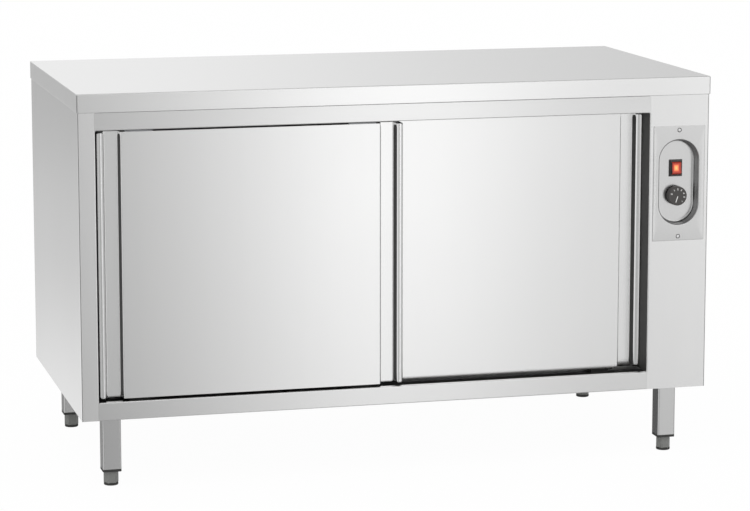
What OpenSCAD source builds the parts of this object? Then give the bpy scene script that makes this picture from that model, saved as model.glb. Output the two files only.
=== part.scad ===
// Hot cupboard for warming plates: a stainless steel cabinet with two sliding doors,
// a control column on the right and four legs with adjustable feet.
// Origin at the middle of the floor under it, X to the right, Y to the back, Z up, millimetres.

/* [Cabinet] */
// Overall width, over the worktop
cabinet_w = 1400; // [1200:10:2000]
// Overall depth, over the worktop
cabinet_d = 700; // [650:10:800]
// Overall height, floor to worktop
cabinet_h = 850; // [800:10:950]
// Height of the cabinet's underside above the floor
underside_h = 155; // [120:5:200]
// Thickness of the outer sheet metal
panel_t = 1.2; // [0.8:0.1:2]
// Thickness of the inner sheet metal
liner_t = 1; // [0.8:0.1:1.5]
// Inside radius of a fold in sheet metal
fold_in = 0.6; // [0.3:0.1:1.5]

/* [Worktop] */
// Height of the worktop's folded edge
worktop_edge = 40; // [30:1:50]
// Thickness of the worktop sheet
worktop_t = 1.5; // [1:0.1:2]
// Inside radius of the worktop's folded edges
worktop_fold_in = 1; // [0.5:0.1:3]
// Width of the hem turned in under the worktop's edge
worktop_hem = 14; // [8:1:20]
// Worktop overhang past the body in front
front_overhang = 4; // [2:0.5:20]
// Worktop overhang past the body at the back
back_overhang = 2; // [2:0.5:10]
// Worktop overhang past the body at each side
side_overhang = 2; // [2:0.5:10]
// Depth of the stiffening channels under the worktop
stiffener_h = 28; // [15:1:32]
// Width of the stiffening channels
stiffener_w = 60; // [40:1:80]

/* [Front frame] */
// Width of the left stile
stile_w = 36; // [30:1:60]
// Width of the control column
column_w = 136; // [130:1:180]
// Height of the top rail
top_rail_h = 38; // [34:1:60]
// Height of the bottom rail
bottom_rail_h = 38.5; // [38.5:0.5:60]
// Depth of the small flanges on the rails and on the outer corners
rail_flange = 11; // [6:0.5:13]
// Gap between a door's lane and the sheet metal behind it
lane_clear = 5; // [3:0.5:10]

/* [Doors] */
// Thickness of a door
door_t = 26; // [25:0.5:32]
// How far the front door's face lies behind the frame
door_set_back = 15; // [14:0.5:20]
// Gap between the two doors
door_gap = 5; // [3:0.5:8]
// Length over which the closed doors overlap
door_overlap = 110; // [100:1:160]
// Gap left of the closed front door
front_door_gap = 5; // [1:0.5:10]
// Gap right of the closed rear door
rear_door_gap = 1; // [1:0.5:10]
// Gap above the doors
door_top_gap = 5.5; // [2:0.5:6]
// Gap below the doors
door_bottom_gap = 4; // [1:0.5:5]
// Width of the rounded lip at a door's end
lip_w = 14; // [12:0.5:20]
// Radius of the lip's rounding
lip_r = 6.2; // [3:0.1:6.2]
// Width of the finger grip at the door's face
grip_w = 37; // [30:1:50]
// Depth of the finger grip
grip_d = 20; // [12:0.5:20]
// How much the grip's walls lean in
grip_lean = 3.5; // [1:0.5:6]
// Inside radius of the bends in the grip
grip_in = 1.4; // [0.5:0.1:1.8]

/* [Door gear] */
// Radius of a door roller
roller_r = 11; // [9.5:0.5:11]
// Width of a door roller
roller_w = 9; // [8:0.5:9]
// Radius of a roller's axle
axle_r = 3; // [2.5:0.1:4]
// Running gap between a roller's bore and its axle
axle_play = 0.05; // [0.02:0.01:0.08]
// Distance of the rollers and glides from a door's ends
hanger_inset = 90; // [80:1:150]
// Width of a hanger plate
hanger_w = 44; // [30:1:60]
// Thickness of the track and hanger metal
track_t = 2; // [1.5:0.1:2.4]
// Inside width of a bottom guide channel
guide_w = 10; // [9:0.5:12]
// Depth of the bottom guide channels
guide_d = 14; // [10:0.5:16]
// Length of a door's glide block
glide_l = 40; // [30:1:60]

/* [Inside] */
// Depth of the insulated space behind the rear lining
rear_space = 40; // [25:1:60]
// Height of the middle shelf above the cabinet's bottom
shelf_height = 290; // [200:10:400]
// Depth of the shelf's folded edges
shelf_edge = 25; // [20:1:40]
// Width of the ledges that carry the shelf
ledge_w = 22; // [15:1:30]

/* [Controls] */
// Width of the control plate
plate_w = 120; // [118:1:124]
// Height of the control plate
plate_h = 255; // [245:1:280]
// Distance of the control plate below the worktop's edge
plate_drop = 68; // [60:1:100]
// Thickness of the control plate
plate_t = 1; // [0.8:0.1:1.5]
// Width of the pressed dish
dish_w = 95; // [93:1:100]
// Height of the pressed dish
dish_h = 192; // [185:1:200]
// Depth of the pressed dish
dish_d = 22; // [18:0.5:26]
// Radius of the dish's rolled rim
dish_rim_r = 3; // [2:0.1:4]
// Height of the knob above the dish's middle, downwards negative
knob_offset = -31.5; // [-36:0.5:-30]
// Radius of the knob
knob_r = 21.5; // [18:0.5:22]
// Height of the knob
knob_h = 15; // [12:0.5:16]
// Gap between the knob and the dish
knob_gap = 3.5; // [3:0.5:5]
// Radius of the thermostat's shaft
shaft_r = 3; // [2.5:0.1:3.5]
// Height of the switch above the dish's middle
switch_offset = 29; // [27:0.5:34]
// Width of the switch's bezel
bezel_w = 31; // [30:0.5:34]
// Height of the switch's bezel
bezel_h = 38; // [37:0.5:42]
// How far the bezel stands out of the dish
bezel_d = 6; // [4:0.5:8]
// Width of the rocker
rocker_w = 21.6; // [18:0.1:22]
// Radius of the rocker's ends about its pivot
rocker_r = 14; // [12:0.1:14]
// Tilt of the rocker when switched on
rocker_tilt = 6; // [3:0.5:8]

/* [Fan heater] */
// Height of the fan above the cabinet's bottom
fan_height = 325; // [250:5:400]
// Distance of the fan behind the middle of the cabinet
fan_back = 40; // [-50:5:100]
// Radius of the fan wheel
fan_r = 70; // [50:1:80]
// Width of the fan wheel
fan_w = 36; // [25:1:40]
// Number of fan blades
fan_blades = 14; // [8:1:24]
// Radius of the heating ring
heater_r = 90; // [85:1:95]
// Radius of the heating tube
heater_tube_r = 4; // [3:0.5:5]

/* [Legs] */
// Side of the square leg tube
leg_w = 40; // [30:1:50]
// Wall of the leg tube
leg_wall = 1.5; // [1:0.1:2]
// Distance of a leg's middle from the worktop's end
leg_inset_x = 72; // [60:1:120]
// Distance of a leg's middle from the worktop's front or back
leg_inset_y = 70; // [60:1:120]
// Height of the leg tube's lower end above the floor
leg_foot_h = 37; // [35:1:60]
// Side of the plate that fixes a leg
leg_plate_w = 76; // [74:1:78]
// Height of the hexagonal foot
foot_h = 31; // [20:1:31]
// Width of the foot over its corners
foot_w = 33; // [25:1:38]
// Height of the foot's sole
sole_h = 4; // [3:0.5:6]
// Radius of the foot's threaded stud
stud_r = 4.95; // [3.95:0.01:5.95]

/* [Hidden] */
$fn = 48;

// Steps in a fold's arc
fold_steps = 4;
// Outside radii of the folds
fold_r = fold_in + panel_t;
liner_fold_r = fold_in + liner_t;
worktop_fold_r = worktop_fold_in + worktop_t;
grip_r = grip_in + panel_t;
// Overlap that joins two shapes of one solid
bite = 0.5;

// Planes of the body
front_y = -cabinet_d / 2 + front_overhang;
back_y = cabinet_d / 2 - back_overhang;
left_x = -cabinet_w / 2 + side_overhang;
right_x = cabinet_w / 2 - side_overhang;
body_z0 = underside_h;
body_z1 = cabinet_h - worktop_edge;

// The door opening
open_x0 = left_x + stile_w;
open_x1 = right_x - column_w;
open_z0 = body_z0 + bottom_rail_h;
open_z1 = body_z1 - top_rail_h;

// The doors and their lanes
door_w = (open_x1 - open_x0 - front_door_gap - rear_door_gap + door_overlap) / 2;
door_h = open_z1 - open_z0 - door_top_gap - door_bottom_gap;
door_z0 = open_z0 + door_bottom_gap;
front_door_x = open_x0 + front_door_gap;
rear_door_x = open_x1 - rear_door_gap - door_w;
front_door_y = front_y + door_set_back;
rear_door_y = front_door_y + door_t + door_gap;
inner_y = rear_door_y + door_t + lane_clear;
grip_end = lip_w + grip_w;

// The door track: rollers run on ledges, carried by a hanger plate behind each roller
track_lift = 0.2;
track_drop = 4;
track_z0 = open_z1 + track_lift;
track_top = body_z1 - track_drop;
ledge_z = track_z0 + track_t;
roller_clear = 0.3;
roller_z = ledge_z + roller_clear + roller_r;
groove_d = 2;
groove_w = 4;
rib_w = 3.2;
rib_h = 1.7;
plate_behind = 4;
roller_y0 = plate_behind - bite - roller_w;
hanger_foot_t = 2;
hanger_foot_d = 18;
hanger_over_axle = 10;
head_t = 2;
track_wall_back = 13;
ledge_past_axle = 1.5;
foot_over = 8;

// The bottom guide
guide_drop = 7;
guide_z0 = open_z0 - guide_drop - guide_d;
glide_play = 0.4;
glide_lift = 2;
glide_foot_t = 3;

// The heated space
rear_liner_y = back_y - rear_space;
ceiling_lift = 3;
ceiling_z = open_z1 + ceiling_lift;
shelf_z = body_z0 + shelf_height;
shelf_clear = 4;
ledge_end = 10;
ledge_h = 30;
ledge_t = 2;

// The control plate and its dish
column_cx = (open_x1 + right_x) / 2;
plate_cz = body_z1 - plate_drop - plate_h / 2;
dish_rise = 2.25;
dish_cz = plate_cz + dish_rise;
plate_y = front_y - plate_t;
dish_floor_y = plate_y + dish_d;
rim_lap = 0.7;
dish_wall_r = dish_w / 2 - dish_rim_r + rim_lap;
dish_lean = 2;
dish_floor_fold = 4;
dish_run = dish_h - dish_w;
screw_inset = 9.5;
plate_screw_r = 2;
switch_play = 0.3;
switch_tab = 8;
pivot_z = 1.5;
pin_r = 1.45;
pin_hole_r = 1.5;
bush_r = 5;

// The fan heater, in the space behind the control column
fan_z = body_z0 + fan_height;
fan_wall_x = open_x1 + liner_t;
fan_gap = 10;
fan_behind = 5;
fan_plate_x = fan_wall_x + fan_gap + fan_w + fan_behind;
fan_plate_w = 230;
fan_plate_t = 2;
fan_shaft_r = 3;
motor_r = 36;
motor_l = 50;
motor_bore = 20;
shaft_short = 2;
probe_r = 3;
probe_l = 90;
probe_drop = 60;
probe_z = open_z1 - probe_drop;
capillary_r = 1;
capillary_back = 40;
capillary_y = inner_y + capillary_back;

// The cable gland, under the cabinet at the right rear
gland_x = column_cx;
gland_r = 10;
gland_bore_r = 5;
gland_in = 12;
gland_out = 24;

// The legs
leg_x = cabinet_w / 2 - leg_inset_x;
leg_y = cabinet_d / 2 - leg_inset_y;
leg_plate_t = 3;
leg_bolt_edge = 11;
leg_bolt_pitch = leg_plate_w - 2 * leg_bolt_edge;
leg_bolt_r = 3;
leg_corner_r = 3;
nut_r = 5.5;
gland_clear = 40;
gland_y = leg_y - leg_plate_w / 2 - gland_clear;
insert_h = 5.5;
insert_plug = 28;
insert_z0 = leg_foot_h - insert_h;
foot_gap = 0.5;
foot_top = min(foot_h, insert_z0 - foot_gap);
stud_play = 0.05;
stud_over = 18;
stud_top = leg_foot_h + insert_plug + stud_over;

// Rear panel screws
rear_flange = 20;
rear_screw_r = 1.9;
screw_play = 0.1;
rear_screw_rows = 4;
rear_screw_edge = 40;
rear_screw_l = 10;

// Helpers for folded sheet metal
function unit(v) = v / norm(v);
function left_of(v) = [-v.y, v.x];
function point(c) = [c[0], c[1]];
function wrap(a) = a > 180 ? a - 360 : (a < -180 ? a + 360 : a);

// A fold at corner c of radius c[2], between the corners a and b
function fold_arc(a, c, b) =
    let (u = unit(point(a) - point(c)), w = unit(point(b) - point(c)),
         half = acos(max(-1, min(1, u * w))) / 2,
         centre = point(c) + unit(u + w) * (c[2] / sin(half)),
         start = point(c) + u * (c[2] / tan(half)) - centre,
         end = point(c) + w * (c[2] / tan(half)) - centre,
         a0 = atan2(start.y, start.x),
         sweep = wrap(atan2(end.y, end.x) - a0))
    [for (i = [0:fold_steps])
        centre + c[2] * [cos(a0 + sweep * i / fold_steps), sin(a0 + sweep * i / fold_steps)]];

// A path through corners [x, y, radius], each corner rounded
function folded(corners) =
    let (last = len(corners) - 1)
    concat([point(corners[0])],
           [for (i = [1:last - 1]) each fold_arc(corners[i - 1], corners[i], corners[i + 1])],
           [point(corners[last])]);

function beside(path, i, d) =
    let (last = len(path) - 1,
         before = unit(path[max(i, 1)] - path[max(i, 1) - 1]),
         after = unit(path[min(i, last - 1) + 1] - path[min(i, last - 1)]),
         m = unit(left_of(before) + left_of(after)))
    path[i] + m * (d / (m * left_of(before)));

// The outline of a sheet of thickness t, to the left of a path
function sheet(path, t) =
    concat(path, [for (i = [len(path) - 1:-1:0]) beside(path, i, t)]);

// An outline drawn in Y and Z, drawn out along X
module along_x(x0, x1) {
    translate([x0, 0, 0]) rotate([90, 0, 90]) linear_extrude(x1 - x0) children();
}

// An outline drawn in X and Z, drawn out along Y
module along_y(y0, y1) {
    translate([0, y1, 0]) rotate([90, 0, 0]) linear_extrude(y1 - y0) children();
}

// A box between two corners
module block(a, b) {
    translate(a) cube(b - a);
}

// A cylinder that lies along X or Y
module rod_x(p, r, l) {
    translate(p) rotate([0, 90, 0]) cylinder(r = r, h = l);
}

module rod_y(p, r, l) {
    translate(p) rotate([-90, 0, 0]) cylinder(r = r, h = l);
}

// The outside of the worktop, or with a step in, the space under its sheet
module worktop_form(step) {
    x = cabinet_w / 2 - step;
    y = cabinet_d / 2 - step;
    top = cabinet_h - step;
    r = worktop_fold_r - step;
    intersection() {
        along_y(-y, y) polygon(folded([[-x, body_z1, 0], [-x, top, r], [x, top, r], [x, body_z1, 0]]));
        along_x(-x, x) polygon(folded([[-y, body_z1, 0], [-y, top, r], [y, top, r], [y, body_z1, 0]]));
    }
}

module worktop() {
    hem_x = cabinet_w / 2 - worktop_hem;
    hem_y = cabinet_d / 2 - worktop_hem;
    color("gainsboro") {
        difference() {
            worktop_form(0);
            worktop_form(worktop_t);
        }
        difference() {
            block([-cabinet_w / 2 + bite, -cabinet_d / 2 + bite, body_z1],
                  [cabinet_w / 2 - bite, cabinet_d / 2 - bite, body_z1 + worktop_t]);
            block([-hem_x, -hem_y, body_z1 - 1], [hem_x, hem_y, body_z1 + worktop_t + 1]);
        }
    }
}

// Three channels welded under the worktop, so that it carries a load
module worktop_stiffeners() {
    top = cabinet_h - worktop_t;
    low = top - stiffener_h;
    reach = cabinet_w / 2 - worktop_hem;
    pitch = cabinet_d / 3;
    color("silver")
        for (i = [-1:1])
            along_x(-reach, reach)
                polygon(sheet(folded([
                    [i * pitch - stiffener_w / 2, top, 0],
                    [i * pitch - stiffener_w / 2, low, fold_r],
                    [i * pitch + stiffener_w / 2, low, fold_r],
                    [i * pitch + stiffener_w / 2, top, 0]]), panel_t));
}

// Heights of the screws along the rear panel's edges
function rear_screw_z(i) =
    body_z0 + rear_screw_edge
    + i * (body_z1 - body_z0 - 2 * rear_screw_edge) / (rear_screw_rows - 1);

// A side panel, mirrored for the other side, with a flange behind for the rear panel
module side_panel(side) {
    x = cabinet_w / 2 - side_overhang;
    mirror([side > 0 ? 1 : 0, 0, 0])
        difference() {
            translate([0, 0, body_z0])
                linear_extrude(body_z1 - body_z0)
                    polygon(sheet(folded([
                        [-x + rear_flange, back_y - panel_t, 0],
                        [-x, back_y - panel_t, fold_r],
                        [-x, front_y + rail_flange, 0]]), panel_t));
            for (i = [0:rear_screw_rows - 1])
                rod_y([-x + rear_flange / 2, back_y - 3 * panel_t, rear_screw_z(i)],
                      rear_screw_r + screw_play, 3 * panel_t);
        }
}

module left_side_panel() {
    color("lightgray") side_panel(-1);
}

module right_side_panel() {
    color("lightgray") side_panel(1);
}

module left_stile() {
    color("lightgray")
        translate([0, 0, body_z0])
            linear_extrude(body_z1 - body_z0)
                polygon(sheet(folded([
                    [left_x, front_y + rail_flange, 0],
                    [left_x, front_y, fold_r],
                    [open_x0, front_y, fold_r],
                    [open_x0, inner_y, 0]]), panel_t));
}

// A slot with round ends, upright, through a face that looks along Y
module upright_slot(x, z, y0, y1, r, run) {
    rod_y([x, y0, z + run / 2], r, y1 - y0);
    rod_y([x, y0, z - run / 2], r, y1 - y0);
    block([x - r, y0, z - run / 2], [x + r, y1, z + run / 2]);
}

module control_column() {
    color("gainsboro")
        difference() {
            translate([0, 0, body_z0])
                linear_extrude(body_z1 - body_z0)
                    polygon(sheet(folded([
                        [open_x1, inner_y, 0],
                        [open_x1, front_y, fold_r],
                        [right_x, front_y, fold_r],
                        [right_x, front_y + rail_flange, 0]]), panel_t));
            upright_slot(column_cx, dish_cz, front_y - 1, front_y + 2 * panel_t,
                         dish_wall_r + dish_rim_r + bite, dish_run);
            for (z = plate_screw_heights())
                rod_y([column_cx, front_y - 1, z], plate_screw_r + screw_play, 2 + panel_t);
        }
}

module top_rail() {
    color("gainsboro")
        along_x(open_x0, open_x1)
            polygon(sheet(folded([
                [front_y + rail_flange, body_z1, 0],
                [front_y, body_z1, fold_r],
                [front_y, open_z1, fold_r],
                [front_y + rail_flange, open_z1, 0]]), panel_t));
}

module bottom_rail() {
    color("gainsboro")
        along_x(open_x0, open_x1)
            polygon(sheet(folded([
                [front_y + rail_flange, open_z0, 0],
                [front_y, open_z0, fold_r],
                [front_y, body_z0, fold_r],
                [front_y + rail_flange, body_z0, 0]]), panel_t));
}

// The rear panel, with vents for the fan space and holes for its screws
module rear_panel() {
    vents = 8;
    vent_pitch = 14;
    vent_h = 5;
    vent_half = 35;
    vent_drop = 60;
    color("silver")
        difference() {
            block([left_x, back_y - panel_t, body_z0], [right_x, back_y, body_z1]);
            for (side = [-1, 1], i = [0:rear_screw_rows - 1])
                rod_y([side * (right_x - rear_flange / 2), back_y - 2 * panel_t, rear_screw_z(i)],
                      rear_screw_r + screw_play, 3 * panel_t);
            for (i = [0:vents - 1])
                translate([0, 0, body_z1 - vent_drop - i * vent_pitch])
                    block([column_cx - vent_half, back_y - 2 * panel_t, 0],
                          [column_cx + vent_half, back_y + panel_t, vent_h]);
        }
}

// The bottom sheet, which reaches in front under the stile and the column, but not under the rail
module base_panel() {
    color("silver")
        difference() {
            union() {
                block([left_x + panel_t, inner_y, body_z0],
                      [right_x - panel_t, back_y - panel_t - fold_r, body_z0 + panel_t]);
                block([open_x0, front_y + rail_flange, body_z0],
                      [open_x1, inner_y + bite, body_z0 + panel_t]);
                for (x = [[left_x, open_x0], [open_x1, right_x]])
                    block([x[0] + fold_r, front_y + fold_r, body_z0],
                          [x[1] - fold_r, inner_y + bite, body_z0 + panel_t]);
            }
            for (sx = [-1, 1], sy = [-1, 1], bx = [-1, 1], by = [-1, 1])
                translate([sx * leg_x + bx * leg_bolt_pitch / 2,
                           sy * leg_y + by * leg_bolt_pitch / 2, body_z0 - 1])
                    cylinder(r = leg_bolt_r + screw_play, h = 2 + panel_t);
            translate([gland_x, gland_y, body_z0 - 1])
                cylinder(r = gland_r + screw_play, h = 2 + panel_t);
        }
}

module left_liner() {
    color("silver")
        block([open_x0 - liner_t, inner_y, body_z0 + panel_t],
              [open_x0, rear_liner_y + liner_t, body_z1]);
}

// The wall between the heated space and the fan, with the fan's intake and outlets
module partition() {
    rings = 3;
    ring_pitch = 16;
    intake_r = 5.5;
    slot_half_w = 18;
    slot_half_h = 4;
    slot_pitch = 3 * slot_half_w;
    slot_from_fan = 150;
    color("silver")
        difference() {
            block([open_x1, inner_y, body_z0 + panel_t],
                  [open_x1 + liner_t, back_y - 2 * panel_t, body_z1]);
            for (ring = [0:rings], i = [0:max(0, ring * 6 - 1)])
                rod_x([open_x1 - 1,
                       fan_back + ring * ring_pitch * cos(i * 360 / max(1, ring * 6)),
                       fan_z + ring * ring_pitch * sin(i * 360 / max(1, ring * 6))],
                      intake_r, liner_t + 2);
            for (end = [-1, 1], i = [0:4])
                translate([0, fan_back + (i - 2) * slot_pitch, fan_z + end * slot_from_fan])
                    block([open_x1 - 1, -slot_half_w, -slot_half_h],
                          [open_x1 + liner_t + 1, slot_half_w, slot_half_h]);
            rod_x([open_x1 - 1, capillary_y, probe_z], capillary_r + 1, liner_t + 2);
        }
}

module rear_liner() {
    color("silver")
        block([open_x0, rear_liner_y, open_z0], [open_x1, rear_liner_y + liner_t, body_z1]);
}

module ceiling_liner() {
    color("silver")
        along_x(open_x0, open_x1)
            polygon(sheet(folded([
                [inner_y, track_top, 0],
                [inner_y, ceiling_z, liner_fold_r],
                [rear_liner_y, ceiling_z, 0]]), liner_t));
}

module deck() {
    color("silver")
        along_x(open_x0, open_x1)
            polygon(sheet(folded([
                [rear_liner_y + liner_t, open_z0, 0],
                [inner_y, open_z0, liner_fold_r],
                [inner_y, body_z0 + panel_t, 0]]), liner_t));
}

// Mineral wool boards at the left, behind and above the heated space
module insulation_boards() {
    top = track_top;
    back = back_y - 2 * panel_t;
    color("khaki") {
        block([left_x + panel_t, inner_y, body_z0 + panel_t],
              [open_x0 - liner_t, rear_liner_y, top]);
        block([open_x0, rear_liner_y + liner_t, open_z0], [open_x1, back, top]);
        block([open_x0, inner_y + 2 * fold_r, ceiling_z + liner_t], [open_x1, rear_liner_y, top]);
    }
}

// An angle on the wall at x, on which the shelf lies
module shelf_rail(x, side) {
    y0 = inner_y + ledge_end;
    y1 = rear_liner_y - ledge_end;
    low = shelf_z - ledge_h;
    under = shelf_z - ledge_t;
    color("silver")
        along_y(y0, y1)
            polygon(side > 0
                ? [[x, low], [x + ledge_t, low], [x + ledge_t, under],
                   [x + ledge_w, under], [x + ledge_w, shelf_z], [x, shelf_z]]
                : [[x, low], [x, shelf_z], [x - ledge_w, shelf_z],
                   [x - ledge_w, under], [x - ledge_t, under], [x - ledge_t, low]]);
}

module shelf() {
    y0 = inner_y + shelf_clear;
    y1 = rear_liner_y - shelf_clear;
    top = shelf_z + liner_t;
    color("gainsboro")
        along_x(open_x0 + shelf_clear, open_x1 - shelf_clear)
            polygon(sheet(folded([
                [y1, top - shelf_edge, 0],
                [y1, top, liner_fold_r],
                [y0, top, liner_fold_r],
                [y0, top - shelf_edge, 0]]), liner_t));
}

// The section of one lane of the door track, about the door's middle plane
module lane_section(c) {
    wall = c - track_wall_back;
    rib = c + roller_y0 + roller_w / 2;
    translate([wall, track_z0]) square([track_t, track_top - track_z0]);
    translate([wall, track_z0]) square([track_wall_back + ledge_past_axle, track_t]);
    translate([rib - rib_w / 2, ledge_z - bite]) square([rib_w, rib_h + bite]);
}

module door_track() {
    color("gray")
        along_x(open_x0, open_x1) {
            translate([front_door_y + door_t / 2 - track_wall_back, track_top - track_t])
                square([inner_y - front_door_y - door_t / 2 + track_wall_back, track_t]);
            lane_section(front_door_y + door_t / 2);
            lane_section(rear_door_y + door_t / 2);
        }
}

// The section of one bottom guide channel, about the door's middle plane
module guide_section(c) {
    for (side = [-1, 1])
        translate([c + side * (guide_w + track_t) / 2 - track_t / 2, guide_z0 - bite])
            square([track_t, guide_d + bite]);
}

module bottom_guide() {
    y0 = front_door_y;
    y1 = inner_y;
    foot_z = body_z0 + panel_t;
    color("dimgray")
        along_x(open_x0, open_x1) {
            translate([y0, guide_z0 - track_t]) square([y1 - y0, track_t]);
            for (y = [y0, y1 - track_t])
                translate([y, foot_z]) square([track_t, guide_z0 - foot_z]);
            guide_section(front_door_y + door_t / 2);
            guide_section(rear_door_y + door_t / 2);
        }
}

// The door's face: one sheet, folded into a rounded lip and a finger grip at both ends
module door_skin(x, y) {
    color("gainsboro")
        translate([x, y, door_z0])
            linear_extrude(door_h)
                polygon(sheet(folded([
                    [0, door_t, 0],
                    [0, 0, lip_r],
                    [lip_w, 0, lip_r],
                    [lip_w + grip_lean, grip_d, grip_r],
                    [grip_end - grip_lean, grip_d, grip_r],
                    [grip_end, 0, grip_r],
                    [door_w - grip_end, 0, grip_r],
                    [door_w - grip_end + grip_lean, grip_d, grip_r],
                    [door_w - lip_w - grip_lean, grip_d, grip_r],
                    [door_w - lip_w, 0, lip_r],
                    [door_w, 0, lip_r],
                    [door_w, door_t, 0]]), panel_t));
}

// The door's back: a tray that closes the skin behind, above and below
module door_back(x, y) {
    edge = grip_end + 2 * panel_t;
    color("silver")
        translate([x, y, door_z0]) {
            block([panel_t, door_t - liner_t, 0], [door_w - panel_t, door_t, door_h]);
            for (z = [0, door_h - liner_t])
                block([edge, panel_t, z], [door_w - edge, door_t - liner_t / 2, z + liner_t]);
        }
}

module door_filling(x, y) {
    edge = grip_end + 2 * panel_t;
    color("khaki")
        translate([x, y, door_z0])
            block([edge, panel_t, liner_t], [door_w - edge, door_t - liner_t, door_h - liner_t]);
}

function hanger_places(x) = [x + hanger_inset, x + door_w - hanger_inset];

// Two hangers with their axles, which carry the door on its rollers
module door_hangers(x, y) {
    c = y + door_t / 2;
    foot_z = door_z0 + door_h;
    color("slategray")
        for (hx = hanger_places(x)) {
            block([hx - hanger_w / 2 - foot_over, c - hanger_foot_d / 2, foot_z],
                  [hx + hanger_w / 2 + foot_over, c + hanger_foot_d / 2, foot_z + hanger_foot_t]);
            block([hx - hanger_w / 2, c + plate_behind, foot_z + bite],
                  [hx + hanger_w / 2, c + plate_behind + track_t, roller_z + hanger_over_axle]);
            rod_y([hx, c + roller_y0 - roller_clear - bite, roller_z], axle_r,
                  roller_w + 2 * bite + roller_clear + track_t / 2);
            rod_y([hx, c + roller_y0 - roller_clear - head_t, roller_z], axle_r + 2, head_t);
        }
}

module door_glides(x, y) {
    c = y + door_t / 2;
    color("whitesmoke")
        for (hx = hanger_places(x)) {
            block([hx - glide_l / 2, c - guide_w / 2 + glide_play, guide_z0 + glide_lift],
                  [hx + glide_l / 2, c + guide_w / 2 - glide_play, door_z0]);
            block([hx - glide_l / 2 - foot_over, c - hanger_foot_d / 2, door_z0 - glide_foot_t],
                  [hx + glide_l / 2 + foot_over, c + hanger_foot_d / 2, door_z0]);
        }
}

// A grooved roller that turns on its axle
module door_roller(x, y) {
    bore = axle_r + axle_play;
    side = (roller_w - groove_w) / 2;
    color("whitesmoke")
        translate([x, y + door_t / 2 + roller_y0, roller_z])
            rotate([-90, 0, 0])
                rotate_extrude()
                    polygon([[bore, 0], [roller_r, 0], [roller_r, side],
                             [roller_r - groove_d, side], [roller_r - groove_d, side + groove_w],
                             [roller_r, side + groove_w], [roller_r, roller_w], [bore, roller_w]]);
}

// Places something drawn with Z towards the user onto the front, at height z
module on_front(x, y, z) {
    translate([x, y, z]) rotate([90, 0, 0]) children();
}

function dish_section() =
    sheet(folded([
        [dish_wall_r + 2 * dish_rim_r, 0, 0],
        [dish_wall_r, 0, dish_rim_r],
        [dish_wall_r - dish_lean, -dish_d, dish_floor_fold],
        [0, -dish_d, 0]]), plate_t);

function plate_screw_heights() =
    [plate_cz + plate_h / 2 - screw_inset, plate_cz - plate_h / 2 + screw_inset];

// The pressed plate: a flat sheet with a long dish that holds the switch and the knob
module control_plate() {
    hole_r = dish_wall_r + dish_rim_r + bite;
    color("silver")
        difference() {
            union() {
                difference() {
                    block([column_cx - plate_w / 2, plate_y, plate_cz - plate_h / 2],
                          [column_cx + plate_w / 2, front_y, plate_cz + plate_h / 2]);
                    upright_slot(column_cx, dish_cz, plate_y - 1, front_y + 1, hole_r, dish_run);
                }
                on_front(column_cx, plate_y, dish_cz) {
                    for (end = [0, 1])
                        rotate([0, 0, end * 180])
                            translate([0, dish_run / 2, 0])
                                rotate_extrude(angle = 180) polygon(dish_section());
                    for (side = [0, 1])
                        mirror([side, 0, 0])
                            rotate([90, 0, 0])
                                translate([0, 0, -dish_run / 2])
                                    linear_extrude(dish_run) polygon(dish_section());
                }
            }
            on_front(column_cx, dish_floor_y, dish_cz + switch_offset)
                block([-switch_body_w / 2 - switch_play, -switch_body_h / 2 - switch_play, -3],
                      [switch_body_w / 2 + switch_play, switch_body_h / 2 + switch_play, 3]);
            rod_y([column_cx, dish_floor_y - 3, dish_cz + knob_offset], bush_r + 0.3, 6);
            for (z = plate_screw_heights())
                rod_y([column_cx, plate_y - 1, z], plate_screw_r + screw_play, 2 + plate_t);
        }
}

// Two dome-headed screws that hold the plate
module plate_screws() {
    head_r = 3.6;
    head_h = 1.6;
    screw_l = 8;
    ball_r = (head_r * head_r + head_h * head_h) / (2 * head_h);
    color("silver")
        for (z = plate_screw_heights())
            on_front(column_cx, plate_y, z) {
                intersection() {
                    translate([0, 0, head_h - ball_r]) sphere(r = ball_r);
                    cylinder(r = head_r + 1, h = head_h + 1);
                }
                translate([0, 0, -screw_l]) cylinder(r = plate_screw_r, h = screw_l + bite);
            }
}

switch_body_w = bezel_w - 5;
switch_body_h = bezel_h - 4;
switch_body_d = 22;
rocker_half_w = rocker_w / 2;
rocker_side_play = 0.4;
rocker_end_play = 0.35;
rocker_face = 8;
rocker_back = 7;

// The switch: a bezel with sloping sides in front of the plate and a housing behind
module switch_body() {
    slope = 2;
    tab_w = 6.3;
    tab_t = 0.8;
    w = bezel_w / 2;
    h = bezel_h / 2;
    hollow_w = rocker_half_w + rocker_side_play;
    hollow_h = rocker_r + rocker_end_play;
    color("black")
        on_front(column_cx, dish_floor_y, dish_cz + switch_offset)
            difference() {
                union() {
                    intersection() {
                        along_y(-h, h) polygon([[-w, 0], [w, 0], [w - slope, bezel_d], [slope - w, bezel_d]]);
                        along_x(-w, w) polygon([[-h, 0], [h, 0], [h - slope, bezel_d], [slope - h, bezel_d]]);
                    }
                    block([-switch_body_w / 2, -switch_body_h / 2, -switch_body_d],
                          [switch_body_w / 2, switch_body_h / 2, bite]);
                    for (tx = [-1, 1], ty = [-1, 1])
                        translate([tx * switch_body_w / 4 - tab_w / 2, ty * switch_body_h / 4 - tab_t / 2,
                                   -switch_body_d - switch_tab])
                            cube([tab_w, tab_t, switch_tab + bite]);
                }
                block([-hollow_w, -hollow_h, pivot_z - rocker_r], [hollow_w, hollow_h, bezel_d + 1]);
                rod_x([-switch_body_w / 2 - 1, 0, pivot_z], pin_hole_r, switch_body_w + 2);
            }
}

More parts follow.
